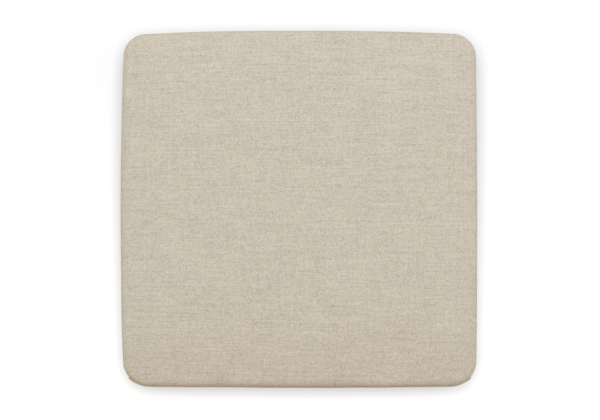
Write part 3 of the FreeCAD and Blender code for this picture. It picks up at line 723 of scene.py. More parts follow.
# %% [markdown]
# ## The shape that every layer shares
#
# Foam, wadding, calico and cover nest inside each other, so they come from one recipe that
# is drawn in a little for each layer. A square grid covers the top, and rings of the same
# points carry on over the edge, down the side and under the rails. Bending one grid this way
# keeps every face four-sided with no pole in the middle, which a disc of rings would have.
#
# The plan is a square with four corners of slightly different roundness, because each is
# pulled by hand, and the sides bow out with the stuffing. The top is flat in the middle and
# falls away near the edges, where the cloth squeezes the foam.

# %% Plan and crown
# Roundness of the corners in plan: front left, front right, back right, back left
CORNER_RADII = np.array([30, 31, 27, 25]) * MM
# How far each side bows out: left, right, front, back
BOWS = np.array([4.0, 1.2, 1.6, 4.6]) * MM
# How much wider the back is than the middle, as a share
TAPER = 0.006
# How far the top falls from its middle to a side; the front is squeezed more
DROP_AT_SIDE = 9.0 * MM
DROP_AT_FRONT = 13.0 * MM
DROP_AT_BACK = 7.0 * MM
CROWN_POWER = 5.0
TOP_ROLL = 10.0 * MM
BOTTOM_ROLL = 5.0 * MM
SIDE_BULGE = 1.2 * MM
SIDE_LEAN = 1.2 * MM
SHARPEST = 2.0 * MM
EDGE_SLOPE = math.atan(CROWN_POWER * DROP_AT_SIDE / HALF)
HALF_CORNER = math.pi / 4


def smooth(value, low, high):
    """0 below low, 1 above high, and an easy curve between."""
    t = np.clip((value - low) / (high - low), 0.0, 1.0)
    return t * t * (3 - 2 * t)


def out_and_side(share, half, radius):
    """How far out and how far sideways a point lies, when it is a share of the way along half
    a side of a rounded square. Also how far along that is."""
    straight = half - radius
    along = share * (straight + radius * HALF_CORNER)
    bend = np.clip((along - straight) / radius, 0.0, HALF_CORNER)
    out = straight + radius * np.cos(bend)
    side = np.where(along < straight, along, straight + radius * np.sin(bend))
    return out, side, along


def rim(u, v, inset):
    """Where the edge of the unit square lands on the rounded plan, and how far along its side.

    One of u and v is 1 or -1, and the other says how far along that side a point is.
    """
    corner = np.where(v < 0, np.where(u < 0, 0, 1), np.where(u < 0, 3, 2))
    radius = np.maximum(CORNER_RADII[corner] - inset, SHARPEST)
    on_x_side = np.abs(u) >= np.abs(v)
    out, side, along = out_and_side(np.where(on_x_side, np.abs(v), np.abs(u)), HALF - inset, radius)
    x = np.where(on_x_side, out, side) * np.sign(u)
    y = np.where(on_x_side, side, out) * np.sign(v)
    return x, y, along


def bowed(x, y):
    """Pushes the sides out in a slow curve that is nothing at the corners, and adds the taper."""
    left, right, front, back = BOWS / HALF
    wide = x * (1 + np.where(x < 0, left, right) * (1 - np.clip(np.abs(y) / HALF, 0, 1) ** 2))
    deep = y * (1 + np.where(y < 0, front, back) * (1 - np.clip(np.abs(x) / HALF, 0, 1) ** 2))
    return wide * (1 + TAPER * y / HALF), deep


def crown(x, y, inset):
    """Height of the top."""
    across = DROP_AT_SIDE * np.abs(x / HALF) ** CROWN_POWER
    along = np.where(y < 0, DROP_AT_FRONT, DROP_AT_BACK) * np.abs(y / HALF) ** CROWN_POWER
    return TOP - inset - across - along


print("edge slope, degrees:", round(math.degrees(EDGE_SLOPE), 2))

# %% [markdown]
# ## Grids and runs of points
#
# Every sheet here starts as a square grid, and most of them carry on past its edge. These few
# tools number a grid's points and join them into four-sided faces. The order of a face's
# corners says which way it looks, so a sheet that hangs underneath has its order turned round.

# %% Grid tools
# The share of the way out at which a grid starts to turn from square to rounded
ROUNDS_FROM = 0.6


def numbered(count, first=0):
    """A square table of point numbers."""
    return first + np.arange(count**2).reshape(count, count)


def joined_corners(corners, look_down):
    """Faces from four arrays of corners, turned round if they should look down."""
    first, second, third, fourth = corners
    return np.stack([first, fourth, third, second] if look_down else corners, axis=-1).reshape(-1, 4)


def grid_faces(number, look_down=False):
    """The faces between the rows and columns of a table of point numbers."""
    corners = [number[:-1, :-1], number[:-1, 1:], number[1:, 1:], number[1:, :-1]]
    return joined_corners(corners, look_down)


def band_faces(inner, outer, look_down=False):
    """The faces between two closed runs of points."""
    return joined_corners([inner, outer, np.roll(outer, -1), np.roll(inner, -1)], look_down)


def four_edges(table):
    """A square table's edges, each from corner to corner, anticlockwise from the front."""
    return [table[0, :], table[:, -1], table[-1, ::-1], table[::-1, 0]]


def closed_run(edges):
    """Four edges as one closed run, with each corner once."""
    return np.concatenate([edge[:-1] for edge in edges])


def furthest(u, v):
    """How far out in the unit square a point is, never quite nothing."""
    return np.maximum(np.maximum(np.abs(u), np.abs(v)), TINY)


def rounded_square(cells, half, radius):
    """A grid of points over a square with round corners."""
    line = np.linspace(-1, 1, cells + 1)
    u, v = np.meshgrid(line, line, indexing="xy")
    far = furthest(u, v)
    out, side, _ = out_and_side(np.minimum(np.abs(u), np.abs(v)) / far, half, radius)
    on_x = np.abs(u) >= np.abs(v)
    pull = smooth(far, ROUNDS_FROM, 1.0)
    x = np.where(on_x, out, side) * np.sign(u) * far * pull + u * half * (1 - pull)
    y = np.where(on_x, side, out) * np.sign(v) * far * pull + v * half * (1 - pull)
    return x, y


def mesh_piece(name, points, faces, spots=None, material=None):
    """A mesh object from arrays, smooth, with its flat-cloth coordinates as a UV map."""
    mesh = bpy.data.meshes.new(name)
    mesh.from_pydata(np.asarray(points).tolist(), [], np.asarray(faces).tolist())
    if spots is not None:
        layer = mesh.uv_layers.new(name="cloth")
        layer.data.foreach_set("uv", np.asarray(spots, np.float32).reshape(-1))
    mesh.polygons.foreach_set("use_smooth", [True] * len(mesh.polygons))
    mesh.update()
    piece = bpy.data.objects.new(name, mesh)
    bpy.context.collection.objects.link(piece)
    if material:
        mesh.materials.append(material)
    return piece


def baked(piece):
    """Makes the piece's modifiers part of its mesh."""
    bpy.context.view_layer.update()
    shown = piece.evaluated_get(bpy.context.evaluated_depsgraph_get())
    mesh = bpy.data.meshes.new_from_object(shown)
    old = piece.data
    piece.modifiers.clear()
    piece.data = mesh
    bpy.data.meshes.remove(old)
    mesh.name = piece.name
    return piece


def thickened(piece, thickness):
    """Gives a sheet its thickness, inwards, and closes its edges."""
    solid = piece.modifiers.new("thickness", "SOLIDIFY")
    solid.thickness = thickness
    solid.offset = -1.0
    solid.use_even_offset = False
    return baked(piece)


print("a grid of 2 by 2 cells has", len(grid_faces(numbered(3))), "faces")

# %% [markdown]
# ## From the top, over the edge and under
#
# The next cell turns the plan into a whole layer. The grid's lines crowd towards the corners,
# where the folds need them. Each side of the cloth is then followed as a flap, one ring at a
# time. Beside each point it keeps where that point was on the flat cloth, so the weave can
# follow the cloth down the sides. The two flaps that meet at a corner keep their own flat
# coordinates there, as two folded flaps do.

# %% Layer builder
CROWDING = 1.3
# The share of the way out at which a layer's grid starts to turn from square to rounded
LAYER_ROUNDS_FROM = 0.5
# Over this much cloth a flap's coordinates change from the top's to its own
FLAP_EASE = 25 * MM
OUTWARD = np.array([(0, -1), (1, 0), (0, 1), (-1, 0)], float)
SIDEWAYS = np.array([(1, 0), (0, 1), (-1, 0), (0, -1)], float)


def stations(cells):
    """Positions from -1 to 1, closer together near both ends."""
    even = np.linspace(-1, 1, cells + 1)
    return np.sign(even) * (1 - (1 - np.abs(even)) ** CROWDING)


def side_stations(cells):
    """The grid's four edges, each from corner to corner, anticlockwise from the front."""
    run = stations(cells)
    ones = np.ones_like(run)
    return [(run, -ones), (ones, run), (-run, ones), (-ones, -run)]


def edge_profile(inset, under_half, steps):
    """The way over the edge, down the side and under, as rings.

    Each ring is (how far in from the plan's edge, share of the way down from the top's edge to
    the turn under, metres above that share). The share lets tall and low places keep one recipe.
    """
    roll = TOP_ROLL - inset
    turn = 0.0 if under_half is None else BOTTOM_ROLL - inset
    top_cosine = math.cos(EDGE_SLOPE)
    rings = []
    for angle in np.linspace(EDGE_SLOPE, math.pi / 2, steps["roll"] + 1)[1:]:
        rings.append((roll * (1 - math.sin(angle)), 0.0, -roll * (top_cosine - math.cos(angle))))
    for share in np.linspace(0, 1, steps["side"] + 1)[1:]:
        out = SIDE_BULGE * math.sin(math.pi * share) - SIDE_LEAN * share**2
        rings.append((-out, share, turn * share - roll * top_cosine * (1 - share)))
    if under_half is None:
        return rings
    for angle in np.linspace(0, math.pi / 2, steps["turn"] + 1)[1:]:
        rings.append((SIDE_LEAN + turn * (1 - math.cos(angle)), 1.0, turn * (1 - math.sin(angle))))
    last = rings[-1][0]
    for share in np.linspace(0, 1, steps["under"] + 1)[1:]:
        rings.append((last + (HALF - inset - under_half - last) * share, 1.0, 0.0))
    return rings


def layer_top(inset, cells):
    """The points over the top, where each was on the flat cloth, and the grid's own inset."""
    grid_inset = (TOP_ROLL - inset) * (1 - math.sin(EDGE_SLOPE)) + inset
    line = stations(cells)
    u, v = np.meshgrid(line, line, indexing="xy")
    far = furthest(u, v)
    edge_x, edge_y, _ = rim(u / far, v / far, grid_inset)
    pull = smooth(far, LAYER_ROUNDS_FROM, 1.0)
    flat = HALF - grid_inset
    x = u * flat * (1 - pull) + far * edge_x * pull
    y = v * flat * (1 - pull) + far * edge_y * pull
    wide, deep = bowed(x, y)
    points = np.stack([wide, deep, crown(x, y, inset)], axis=-1)
    return points.reshape(-1, 3), np.stack([x, y], axis=-1).reshape(-1, 2), grid_inset


class Flap:
    """The cloth of one side, followed ring by ring from the top's edge, down and under."""

    def __init__(self, side, cells, edge_points, inset, grid_inset):
        self.u, self.v = side_stations(cells)[side]
        self.outward = OUTWARD[side]
        self.sideways = SIDEWAYS[side]
        x, y, along = rim(self.u, self.v, grid_inset)
        self.start = np.stack([x, y], axis=-1)
        self.top = crown(x, y, inset)
        self.inset = inset
        self.flat_edge = HALF - grid_inset
        self.signed_along = along * np.sign(stations(cells))
        self.path = np.zeros(cells + 1)
        self.points = edge_points
        self.spots = self.start

    def go_on(self, ring_inset, share, above, under):
        """Takes the flap one ring further, and gives the faces' flat coordinates."""
        x, y, _ = rim(self.u, self.v, self.inset + ring_inset)
        wide, deep = bowed(x, y)
        points = np.stack([wide, deep, self.top * (1 - share) + under * share + above], axis=-1)
        self.path = self.path + np.linalg.norm(points - self.points, axis=-1)
        self.points = points
        unrolled = self.outward * (self.flat_edge + self.path)[:, None]
        unrolled = unrolled + self.sideways * self.signed_along[:, None]
        planar = self.start + self.outward * self.path[:, None]
        ease = smooth(self.path, 0.0, FLAP_EASE)[:, None]
        old = self.spots
        new = planar * (1 - ease) + unrolled * ease
        self.spots = new
        return np.stack([old[:-1], new[:-1], new[1:], old[1:]], axis=1)


def layer_shape(inset, under, under_half, cells, steps):
    """Points, faces, flat-cloth coordinates and last run of points of one layer."""
    top, top_spots, grid_inset = layer_top(inset, cells)
    number = numbered(cells + 1)
    edges = four_edges(number)
    flaps = [Flap(side, cells, top[edge], inset, grid_inset) for side, edge in enumerate(edges)]
    points, faces = [top], [grid_faces(number)]
    spots = [top_spots[faces[0]]]
    previous = closed_run(edges)
    for ring_inset, share, above in edge_profile(inset, under_half, steps):
        current = sum(len(part) for part in points) + np.arange(len(previous))
        faces.append(band_faces(previous, current))
        spots += [flap.go_on(ring_inset, share, above, under) for flap in flaps]
        points.append(closed_run([flap.points for flap in flaps]))
        previous = current
    return np.concatenate(points), np.concatenate(faces), np.concatenate(spots), previous


print("the stations on a side of 4 cells:", stations(4).round(3).tolist())

# %% [markdown]
# ## Letting the cover pull tight
#
# A real cover is a flat sheet under tension over springy foam. A short cloth simulation with
# air pressure inside shows how it wants to bulge between the places that hold it: most in
# the middle of each side, and hardly at the corners. It is run on a coarse copy with its
# underside held, its movement is capped at a few millimetres, and the fine cover borrows
# the result. Simulating the fine mesh itself would take minutes and show nothing more.

# %% Tension simulation
TEST_CELLS = 44
TEST_STEPS = {"roll": 3, "side": 4, "turn": 2, "under": 2}
TEST_FRAMES = 20
TEST_CLOTH = {
    "quality": 5,
    "mass": 0.35,
    "tension_stiffness": 40,
    "compression_stiffness": 40,
    "shear_stiffness": 20,
    "bending_stiffness": 3,
    "use_pressure": True,
    "uniform_pressure_force": 4.0,
    "vertex_group_mass": "held",
}
MOST_SWELL = 2.6 * MM
# From the seat's middle to the edge of the cover and of the liner, where they end underneath
COVER_RETURN = 195 * MM
LINER_RETURN = 203 * MM


def read_vectors(mesh, kind):
    """One vector for each point of a mesh: its place ("co") or its normal ("normal")."""
    values = np.zeros(len(mesh.vertices) * 3, np.float32)
    mesh.vertices.foreach_get(kind, values)
    return values.reshape(-1, 3)


def swell_of_cover():
    """How far each point of the coarse cover moves outwards, in metres."""
    points, faces, _, _ = layer_shape(0.0, UNDER, COVER_RETURN, TEST_CELLS, TEST_STEPS)
    piece = mesh_piece("tension_test", points, faces)
    normals = read_vectors(piece.data, "normal")
    held = piece.vertex_groups.new(name="held")
    held.add(np.flatnonzero(points[:, 2] < UNDER + BOTTOM_ROLL).tolist(), 1.0, "REPLACE")
    cloth = piece.modifiers.new("tension", "CLOTH")
    for name, value in TEST_CLOTH.items():
        setattr(cloth.settings, name, value)
    cloth.settings.effector_weights.gravity = 0.0
    cloth.collision_settings.use_collision = False
    cloth.point_cache.frame_start = 1
    cloth.point_cache.frame_end = TEST_FRAMES
    for number in range(1, TEST_FRAMES + 1):
        scene.frame_set(number)
    shown = piece.evaluated_get(bpy.context.evaluated_depsgraph_get())
    outward = np.einsum("ij,ij->i", read_vectors(shown.data, "co") - points, normals)
    scene.frame_set(1)
    bpy.data.objects.remove(piece)
    return np.clip(outward, 0.0, None)


def sampled(table, rows, columns):
    """Reads a table between its cells."""
    low_row = np.clip(np.floor(rows).astype(int), 0, table.shape[0] - 2)
    low_column = np.clip(np.floor(columns).astype(int), 0, table.shape[1] - 2)
    down, right = rows - low_row, columns - low_column
    upper = table[low_row, low_column] * (1 - right) + table[low_row, low_column + 1] * right
    lower = table[low_row + 1, low_column] * (1 - right) + table[low_row + 1, low_column + 1] * right
    return upper * (1 - down) + lower * down


def borrow_swell(coarse, cells, steps):
    """Spreads the coarse cover's swelling over a finer one of the same recipe."""
    coarse = coarse / max(float(coarse.max()), TINY) * MOST_SWELL
    grid_size = (TEST_CELLS + 1) ** 2
    grid = coarse[:grid_size].reshape(TEST_CELLS + 1, TEST_CELLS + 1)
    rings = coarse[grid_size:].reshape(sum(TEST_STEPS.values()), 4 * TEST_CELLS)
    place = np.arange(cells + 1) * TEST_CELLS / cells
    rows, columns = np.meshgrid(place, place, indexing="ij")
    fine_grid = sampled(grid, rows, columns).reshape(-1)
    table = np.concatenate([closed_run(four_edges(grid))[None], rings])
    table = np.concatenate([table, table[:, :1]], axis=1)
    # Where the roll, the side, the turn and the underside end, in coarse and in fine rings
    coarse_marks = np.cumsum([0, *TEST_STEPS.values()])
    fine_marks = np.cumsum([0, *steps.values()])
    down = np.interp(np.arange(1, sum(steps.values()) + 1), fine_marks, coarse_marks)
    around = np.arange(4 * cells) * TEST_CELLS / cells
    rows, columns = np.meshgrid(down, around, indexing="ij")
    return np.concatenate([fine_grid, sampled(table, rows, columns).reshape(-1)])


coarse_swell = swell_of_cover()
if coarse_swell is None:
    print("the cover keeps its plain curves")
else:
    print("coarse points tested:", len(coarse_swell), "furthest, in mm:", round(coarse_swell.max() / MM, 1))

# %% [markdown]
# ## The cover
#
# The cover is built fine enough for its folds. Where the side cloth meets at a corner there
# is too much of it, and the maker folds the spare to one side in a pleat that starts just
# below the top edge and deepens towards the bottom. The wadding under the cloth is never
# quite even, so the top gets a slow unevenness of a few tenths of a millimetre.

# %% Cover mesh
COVER_CELLS = 150
COVER_STEPS = {"roll": 8, "side": 11, "turn": 4, "under": 6}
PLEAT_DEEP = 3.0 * MM
PLEAT_WIDE = 17 * MM
PLEAT_START = 9 * MM
PLEAT_FULL = 30 * MM
PLEAT_SLANT = 0.16
# How far the cloth dips behind the fold, as a share of its depth
PLEAT_DIP = 0.22
# A fold fades out between these distances from the corner
FOLD_FADES = 60 * MM
FOLD_WHOLE = 30 * MM
UNEVEN = 0.35 * MM
# Lumps of the stuffing for each metre, slow and quick
SLOW_LUMPS = 14.0
QUICK_LUMPS = 37.0
QUICK_SHARE = 0.5
OTHER_LUMPS = Vector((5, 2, 1))
# The underside stays flat: lifts start this far above it and are whole further up
LIFT_STARTS = 2 * MM
LIFT_WHOLE = 12 * MM


def point_normals(points, faces):
    """Normals at the points, through a throw-away mesh."""
    mesh = bpy.data.meshes.new("normals")
    mesh.from_pydata(points.tolist(), [], faces.tolist())
    mesh.update()
    normals = read_vectors(mesh, "normal")
    bpy.data.meshes.remove(mesh)
    return normals


def lump(point):
    """The stuffing's random lift at one point."""
    return noise.noise(point * SLOW_LUMPS) + QUICK_SHARE * noise.noise(point * QUICK_LUMPS + OTHER_LUMPS)


def pleats(points):
    """One lapped fold at each corner: the cloth climbs slowly and drops back at the fold."""
    x, y, z = points.T
    down = crown(x, y, 0.0) - z
    # Distance past the fold, which slants a little; positive on the front and back sides
    past = (np.abs(y) - np.abs(x)) / math.sqrt(2) + PLEAT_SLANT * (down - PLEAT_START)
    near_corner = smooth(np.minimum(np.abs(x), np.abs(y)), HALF - FOLD_FADES, HALF - FOLD_WHOLE)
    tucked = PLEAT_WIDE / 2
    climb = smooth(PLEAT_WIDE - past, 0.0, PLEAT_WIDE)
    dip = -smooth(tucked + past, 0.0, tucked) * PLEAT_DIP
    deepening = smooth(down, PLEAT_START, PLEAT_FULL)
    return PLEAT_DEEP * np.where(past > 0, climb, dip) * deepening * near_corner


def cover_mesh():
    """The finished cover, before its thickness."""
    points, faces, spots, _ = layer_shape(0.0, UNDER, COVER_RETURN, COVER_CELLS, COVER_STEPS)
    normals = point_normals(points, faces)
    above = smooth(points[:, 2], UNDER + LIFT_STARTS, UNDER + LIFT_WHOLE)
    lift = np.array([lump(Vector(point)) for point in points.tolist()]) * UNEVEN
    if coarse_swell is not None:
        lift = lift + borrow_swell(coarse_swell, COVER_CELLS, COVER_STEPS)
    points = points + normals * (lift * above)[:, None]
    points = points + normals * (pleats(points) * above)[:, None]
    return points, faces, spots


cover_points, cover_faces, cover_spots = cover_mesh()
seat_cover = mesh_piece("linen_seat_cover", cover_points, cover_faces, cover_spots, linen)
thickened(seat_cover, COVER_THICK)
print("cover faces:", len(seat_cover.data.polygons))

# %% [markdown]
# ## The layers inside
#
# The calico liner, the wadding and the foam follow the same recipe with fewer points. Each
# is drawn in by what lies over it. The foam alone is closed at the bottom by a flat sheet
# of faces, because it is a block and the others are wraps.

# %% Liner, wadding and foam
LAYER_STEPS = {"roll": 4, "side": 5, "turn": 3, "under": 3}
LAYER_CELLS = 70
WADDING_INSET = COVER_THICK + LINER_THICK
FOAM_INSET = WADDING_INSET + WADDING_THICK


def foam_block():
    """A block of foam with a domed top, cut sides and a flat bottom."""
    points, faces, _, last = layer_shape(FOAM_INSET, foam_low[2], None, LAYER_CELLS, LAYER_STEPS)
    bottom = points[: (LAYER_CELLS + 1) ** 2].copy()
    bottom[:, 2] = foam_low[2]
    number = numbered(LAYER_CELLS + 1, first=len(points))
    skirt = band_faces(last, closed_run(four_edges(number)))
    all_faces = np.concatenate([faces, skirt, grid_faces(number, look_down=True)])
    return np.concatenate([points, bottom]), all_faces


liner_points, liner_faces, liner_spots, _ = layer_shape(
    COVER_THICK, liner_low[2], LINER_RETURN, LAYER_CELLS, LAYER_STEPS
)
liner = mesh_piece("calico_undercover", liner_points, liner_faces, liner_spots, calico)
thickened(liner, LINER_THICK)
wadding_points, wadding_faces, _, _ = layer_shape(
    WADDING_INSET, wadding_low[2], None, LAYER_CELLS, LAYER_STEPS
)
wadding = mesh_piece("wadding_layer", wadding_points, wadding_faces, None, wadding_fibre)
thickened(wadding, WADDING_THICK)
foam_points, foam_faces = foam_block()
foam = mesh_piece("foam_slab", foam_points, foam_faces, None, foam_cream)
print("inner layers:", liner.name, wadding.name, foam.name)

# %% [markdown]
# ## The webbing
#
# Elastic webbing is pulled over the rails and woven like a basket, so each strap rises over
# one neighbour and dips under the next. A strap is a narrow strip whose height is read from
# a smooth wave. The wave is clipped a little, so that a strap lies flat over its neighbour.

# %% Webbing straps
STRAP_NAMES = [
    ("webbing_lengthwise_left", "webbing_lengthwise_middle", "webbing_lengthwise_right"),
    ("webbing_crosswise_front", "webbing_crosswise_middle", "webbing_crosswise_back"),
]
STRAP_ALONG = 160
STRAP_ACROSS = 12
CREST_WIDTH = 1.9
# Past its last crossing a strap comes down to the rail between these shares of the pitch
RAMP_STARTS = 1.28
RAMP_ENDS = 1.5
rail_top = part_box("front_rail")[1][2]
cross_low, cross_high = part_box("webbing_crosswise_middle")
STRAP_HALF_WIDTH = (cross_high[1] - cross_low[1]) / 2
STRAP_HALF_LENGTH = cross_high[0]
STRAP_THICK = (cross_high[2] - cross_low[2]) / 2
STRAP_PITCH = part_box("webbing_crosswise_back")[1][1] - cross_high[1]


def strap_piece(name, number, lengthwise):
    """One strap that follows the basket weave."""
    run = np.linspace(-STRAP_HALF_LENGTH, STRAP_HALF_LENGTH, STRAP_ALONG + 1)
    side = np.linspace(-STRAP_HALF_WIDTH, STRAP_HALF_WIDTH, STRAP_ACROSS + 1)
    over_first = (-1) ** (number + 1) * (1 if lengthwise else -1)
    wave = np.cos(math.pi * run / STRAP_PITCH) * over_first
    crest = np.sin(np.clip(wave * CREST_WIDTH, -1, 1) * math.pi / 2)
    fade = 1 - smooth(np.abs(run), RAMP_STARTS * STRAP_PITCH, RAMP_ENDS * STRAP_PITCH)
    rise = rail_top + STRAP_THICK + crest * fade * STRAP_THICK / 2
    grid_run, grid_side = np.meshgrid(run, side, indexing="ij")
    height = np.repeat(rise[:, None], STRAP_ACROSS + 1, axis=1)
    middle = (number - 1) * STRAP_PITCH
    if lengthwise:
        points = np.stack([middle - grid_side, grid_run, height], axis=-1)
    else:
        points = np.stack([grid_run, middle + grid_side, height], axis=-1)
    faces = grid_faces(np.arange(grid_run.size).reshape(grid_run.shape), look_down=True)
    flat = np.stack([grid_run, grid_side], axis=-1).reshape(-1, 2)
    piece = mesh_piece(f"{name}_strap", points.reshape(-1, 3), faces, flat[faces], webbing)
    return thickened(piece, STRAP_THICK)


straps = {
    name: strap_piece(name, number, lengthwise)
    for lengthwise, names in zip((True, False), STRAP_NAMES)
    for number, name in enumerate(names)
}
print("straps:", len(straps))

# %% [markdown]
# ## The hessian
#
# Hessian lies over the webbing and keeps the foam out of its gaps. It is cut with scissors, so
# its edge frays in and out a little. Between the straps nothing holds it up, and it hangs in a
# very slight hollow there, which is a wave with the pitch of the straps.

# %% Hessian panel
HESSIAN_CELLS = 84
HESSIAN_CORNER = 16 * MM
HESSIAN_SAG = 0.5 * MM
# The sag starts this far inside the edge and is whole further in
SAG_STARTS = 40 * MM
SAG_WHOLE = 60 * MM
FRAY = 0.6 * MM
FRAY_WIDE = 1 * MM
# Radians of the fray's wave for each metre, across and along
FRAY_ACROSS = 2100
FRAY_ALONG = 900


def hessian_piece():
    """A square of hessian with a little sag between the straps."""
    half = hessian_high[0]
    x, y = rounded_square(HESSIAN_CELLS, half, HESSIAN_CORNER)
    edge_in = half - np.maximum(np.abs(x), np.abs(y))
    hollow = np.sin(math.pi * x / STRAP_PITCH) ** 2 * np.sin(math.pi * y / STRAP_PITCH) ** 2
    z = hessian_high[2] - HESSIAN_SAG * hollow * smooth(edge_in, SAG_STARTS, SAG_WHOLE)
    fray = FRAY * np.sin(x * FRAY_ACROSS + y * FRAY_ALONG) * (edge_in < FRAY_WIDE)
    points = np.stack([x + fray, y - fray, z], axis=-1).reshape(-1, 3)
    faces = grid_faces(numbered(HESSIAN_CELLS + 1))
    piece = mesh_piece("hessian_platform", points, faces, None, hessian_cloth)
    return thickened(piece, hessian_high[2] - hessian_low[2])


hessian = hessian_piece()
print("hessian:", len(hessian.data.polygons))

# %% [markdown]
# ## The dust cover
#
# The dust cover is cut a little large and its edge is folded in before it is stapled, so a
# double band runs round it. Between staples the edge puckers slightly. A hole is punched
# under each tee nut. The grid's faces inside a hole are dropped and the points round it are
# slid onto the circle, which leaves clean four-sided cloth elsewhere.

# %% Dust cover mesh
WIRE_DEEP = 0.5 * MM
WIRE_WIDE = 0.7 * MM
STAPLES_PER_SIDE = {
    "dust_cover_staples": 14,
    "cover_staples": 15,
    "liner_staples": 12,
    "hessian_staples": 10,
}


def staple_row(node):
    """How far from the seat's middle a run of staples stands."""
    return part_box(node)[1][0] - WIRE_WIDE / 2


DUST_CELLS = 140
DUST_CORNER = 20 * MM
# The sheet's own clearance from the lowest thing under it
DUST_CLEAR = 0.02 * MM
HEM = 12 * MM
HEM_STEP = 1 * MM
HEM_RISE = 0.12 * MM
PUCKER_RISE = 0.22 * MM
# Inwards from the edge, where the puckers are whole, start to fade and are gone
PUCKER_WHOLE = 3 * MM
PUCKER_FADES = 6 * MM
PUCKER_GONE = 24 * MM
# The cloth is free to lift between the rails, from their inner edge on
DUST_LIFT = 1.6 * MM
FREE_FROM = 55 * MM
FREE_WHOLE = 110 * MM
LIFT_MIDDLE = 0.5
LIFT_SWING = 0.7
WAVES_PER_METRE = 9
WAVE_SLICE = Vector((0, 0, 0.5))
# The folded edge: how far in and how high each of its runs of points lies
HEM_RUNS = np.array([(0.15, 0.30), (1.0, 0.42), (6.0, 0.46), (12.0, 0.46)]) * MM
HOLE_RADIUS = 7 * MM
NUT_FLANGE = 9.5 * MM
dust_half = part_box("dust_cover")[1][0]
nut_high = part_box("tee_nuts")[1]
NUT_PLACES = [
    np.array([side * (nut_high[0] - NUT_FLANGE), end * (nut_high[1] - NUT_FLANGE)])
    for side in (-1, 1)
    for end in (-1, 1)
]


def dust_height(x, y):
    """How high the dust cover lies at each place."""
    edge_in = dust_half - np.maximum(np.abs(x), np.abs(y))
    step = 2 * staple_row("dust_cover_staples") / STAPLES_PER_SIDE["dust_cover_staples"]
    along = np.where(np.abs(x) > np.abs(y), y, x)
    pucker = (1 - np.cos(2 * math.pi * along / step)) / 2
    at_edge = smooth(edge_in, 0, PUCKER_WHOLE) * (1 - smooth(edge_in, PUCKER_FADES, PUCKER_GONE))
    places = [Vector((across, deep, 0)) * WAVES_PER_METRE for across, deep in zip(x.flat, y.flat)]
    waves = np.array([noise.noise(place + WAVE_SLICE) for place in places]).reshape(x.shape)
    free = smooth(edge_in, FREE_FROM, FREE_WHOLE)
    lift = DUST_LIFT * free * (LIFT_MIDDLE + LIFT_SWING * waves)
    hem = HEM_RISE * smooth(edge_in, HEM - HEM_STEP, HEM + HEM_STEP)
    return DUST_CLEAR + PUCKER_RISE * pucker * at_edge + hem + lift


def punched(points, faces):
    """Drops the faces inside each hole and slides the points round it onto the circle."""
    middle = points[faces].mean(axis=1)
    keep = np.ones(len(faces), bool)
    for centre in NUT_PLACES:
        inside = np.linalg.norm(middle[:, :2] - centre, axis=1) < HOLE_RADIUS
        keep &= ~inside
        round_it = np.intersect1d(faces[inside], faces[~inside])
        away = points[round_it, :2] - centre
        points[round_it, :2] = centre + away * HOLE_RADIUS / np.linalg.norm(away, axis=1)[:, None]
    return faces[keep]


def dust_piece():
    """The dust cover with its four holes and folded hem."""
    x, y = rounded_square(DUST_CELLS, dust_half, DUST_CORNER)
    number = numbered(DUST_CELLS + 1)
    points = [np.stack([x, y, dust_height(x, y)], axis=-1).reshape(-1, 3)]
    faces = [punched(points[0], grid_faces(number, look_down=True))]
    previous = closed_run(four_edges(number))
    edge = points[0][previous, :2]
    for inward, height in HEM_RUNS:
        run = edge * (1 - inward / dust_half)
        current = sum(len(part) for part in points) + np.arange(len(run))
        points.append(np.column_stack([run, np.full(len(run), height)]))
        faces.append(band_faces(previous, current, look_down=True))
        previous = current
    all_points, all_faces = np.concatenate(points), np.concatenate(faces)
    return mesh_piece("black_dust_cover", all_points, all_faces, None, dust_black)


dust_cover = dust_piece()
print("dust cover faces:", len(dust_cover.data.polygons))

# %% [markdown]
# ## The staples
#
# Four runs of staples hold the sheets to the rails, and all are the same bent wire. This is
# what Geometry Nodes are for. A line of points is copied to four sides, and on each point
# stands a staple that is itself drawn from four corners, rounded and given the wire's flat
# section. A hand-held gun never lines up quite the same way twice, so each staple turns by a
# small random angle. The tree's inputs let one tree make every run.

# %% Staple tree
STAPLE_INPUTS = [
    ("NodeSocketFloat", "Row"),
    ("NodeSocketInt", "Per side"),
    ("NodeSocketFloat", "Height"),
    ("NodeSocketFloat", "Crown"),
    ("NodeSocketFloat", "Leg"),
    ("NodeSocketFloat", "Wire deep"),
    ("NodeSocketFloat", "Wire wide"),
    ("NodeSocketFloat", "Upside down"),
    ("NodeSocketFloat", "Lean"),
    ("NodeSocketInt", "Seed"),
    ("NodeSocketMaterial", "Wire"),
]
BEND_RADIUS = 0.6 * MM
BEND_STEPS = 3


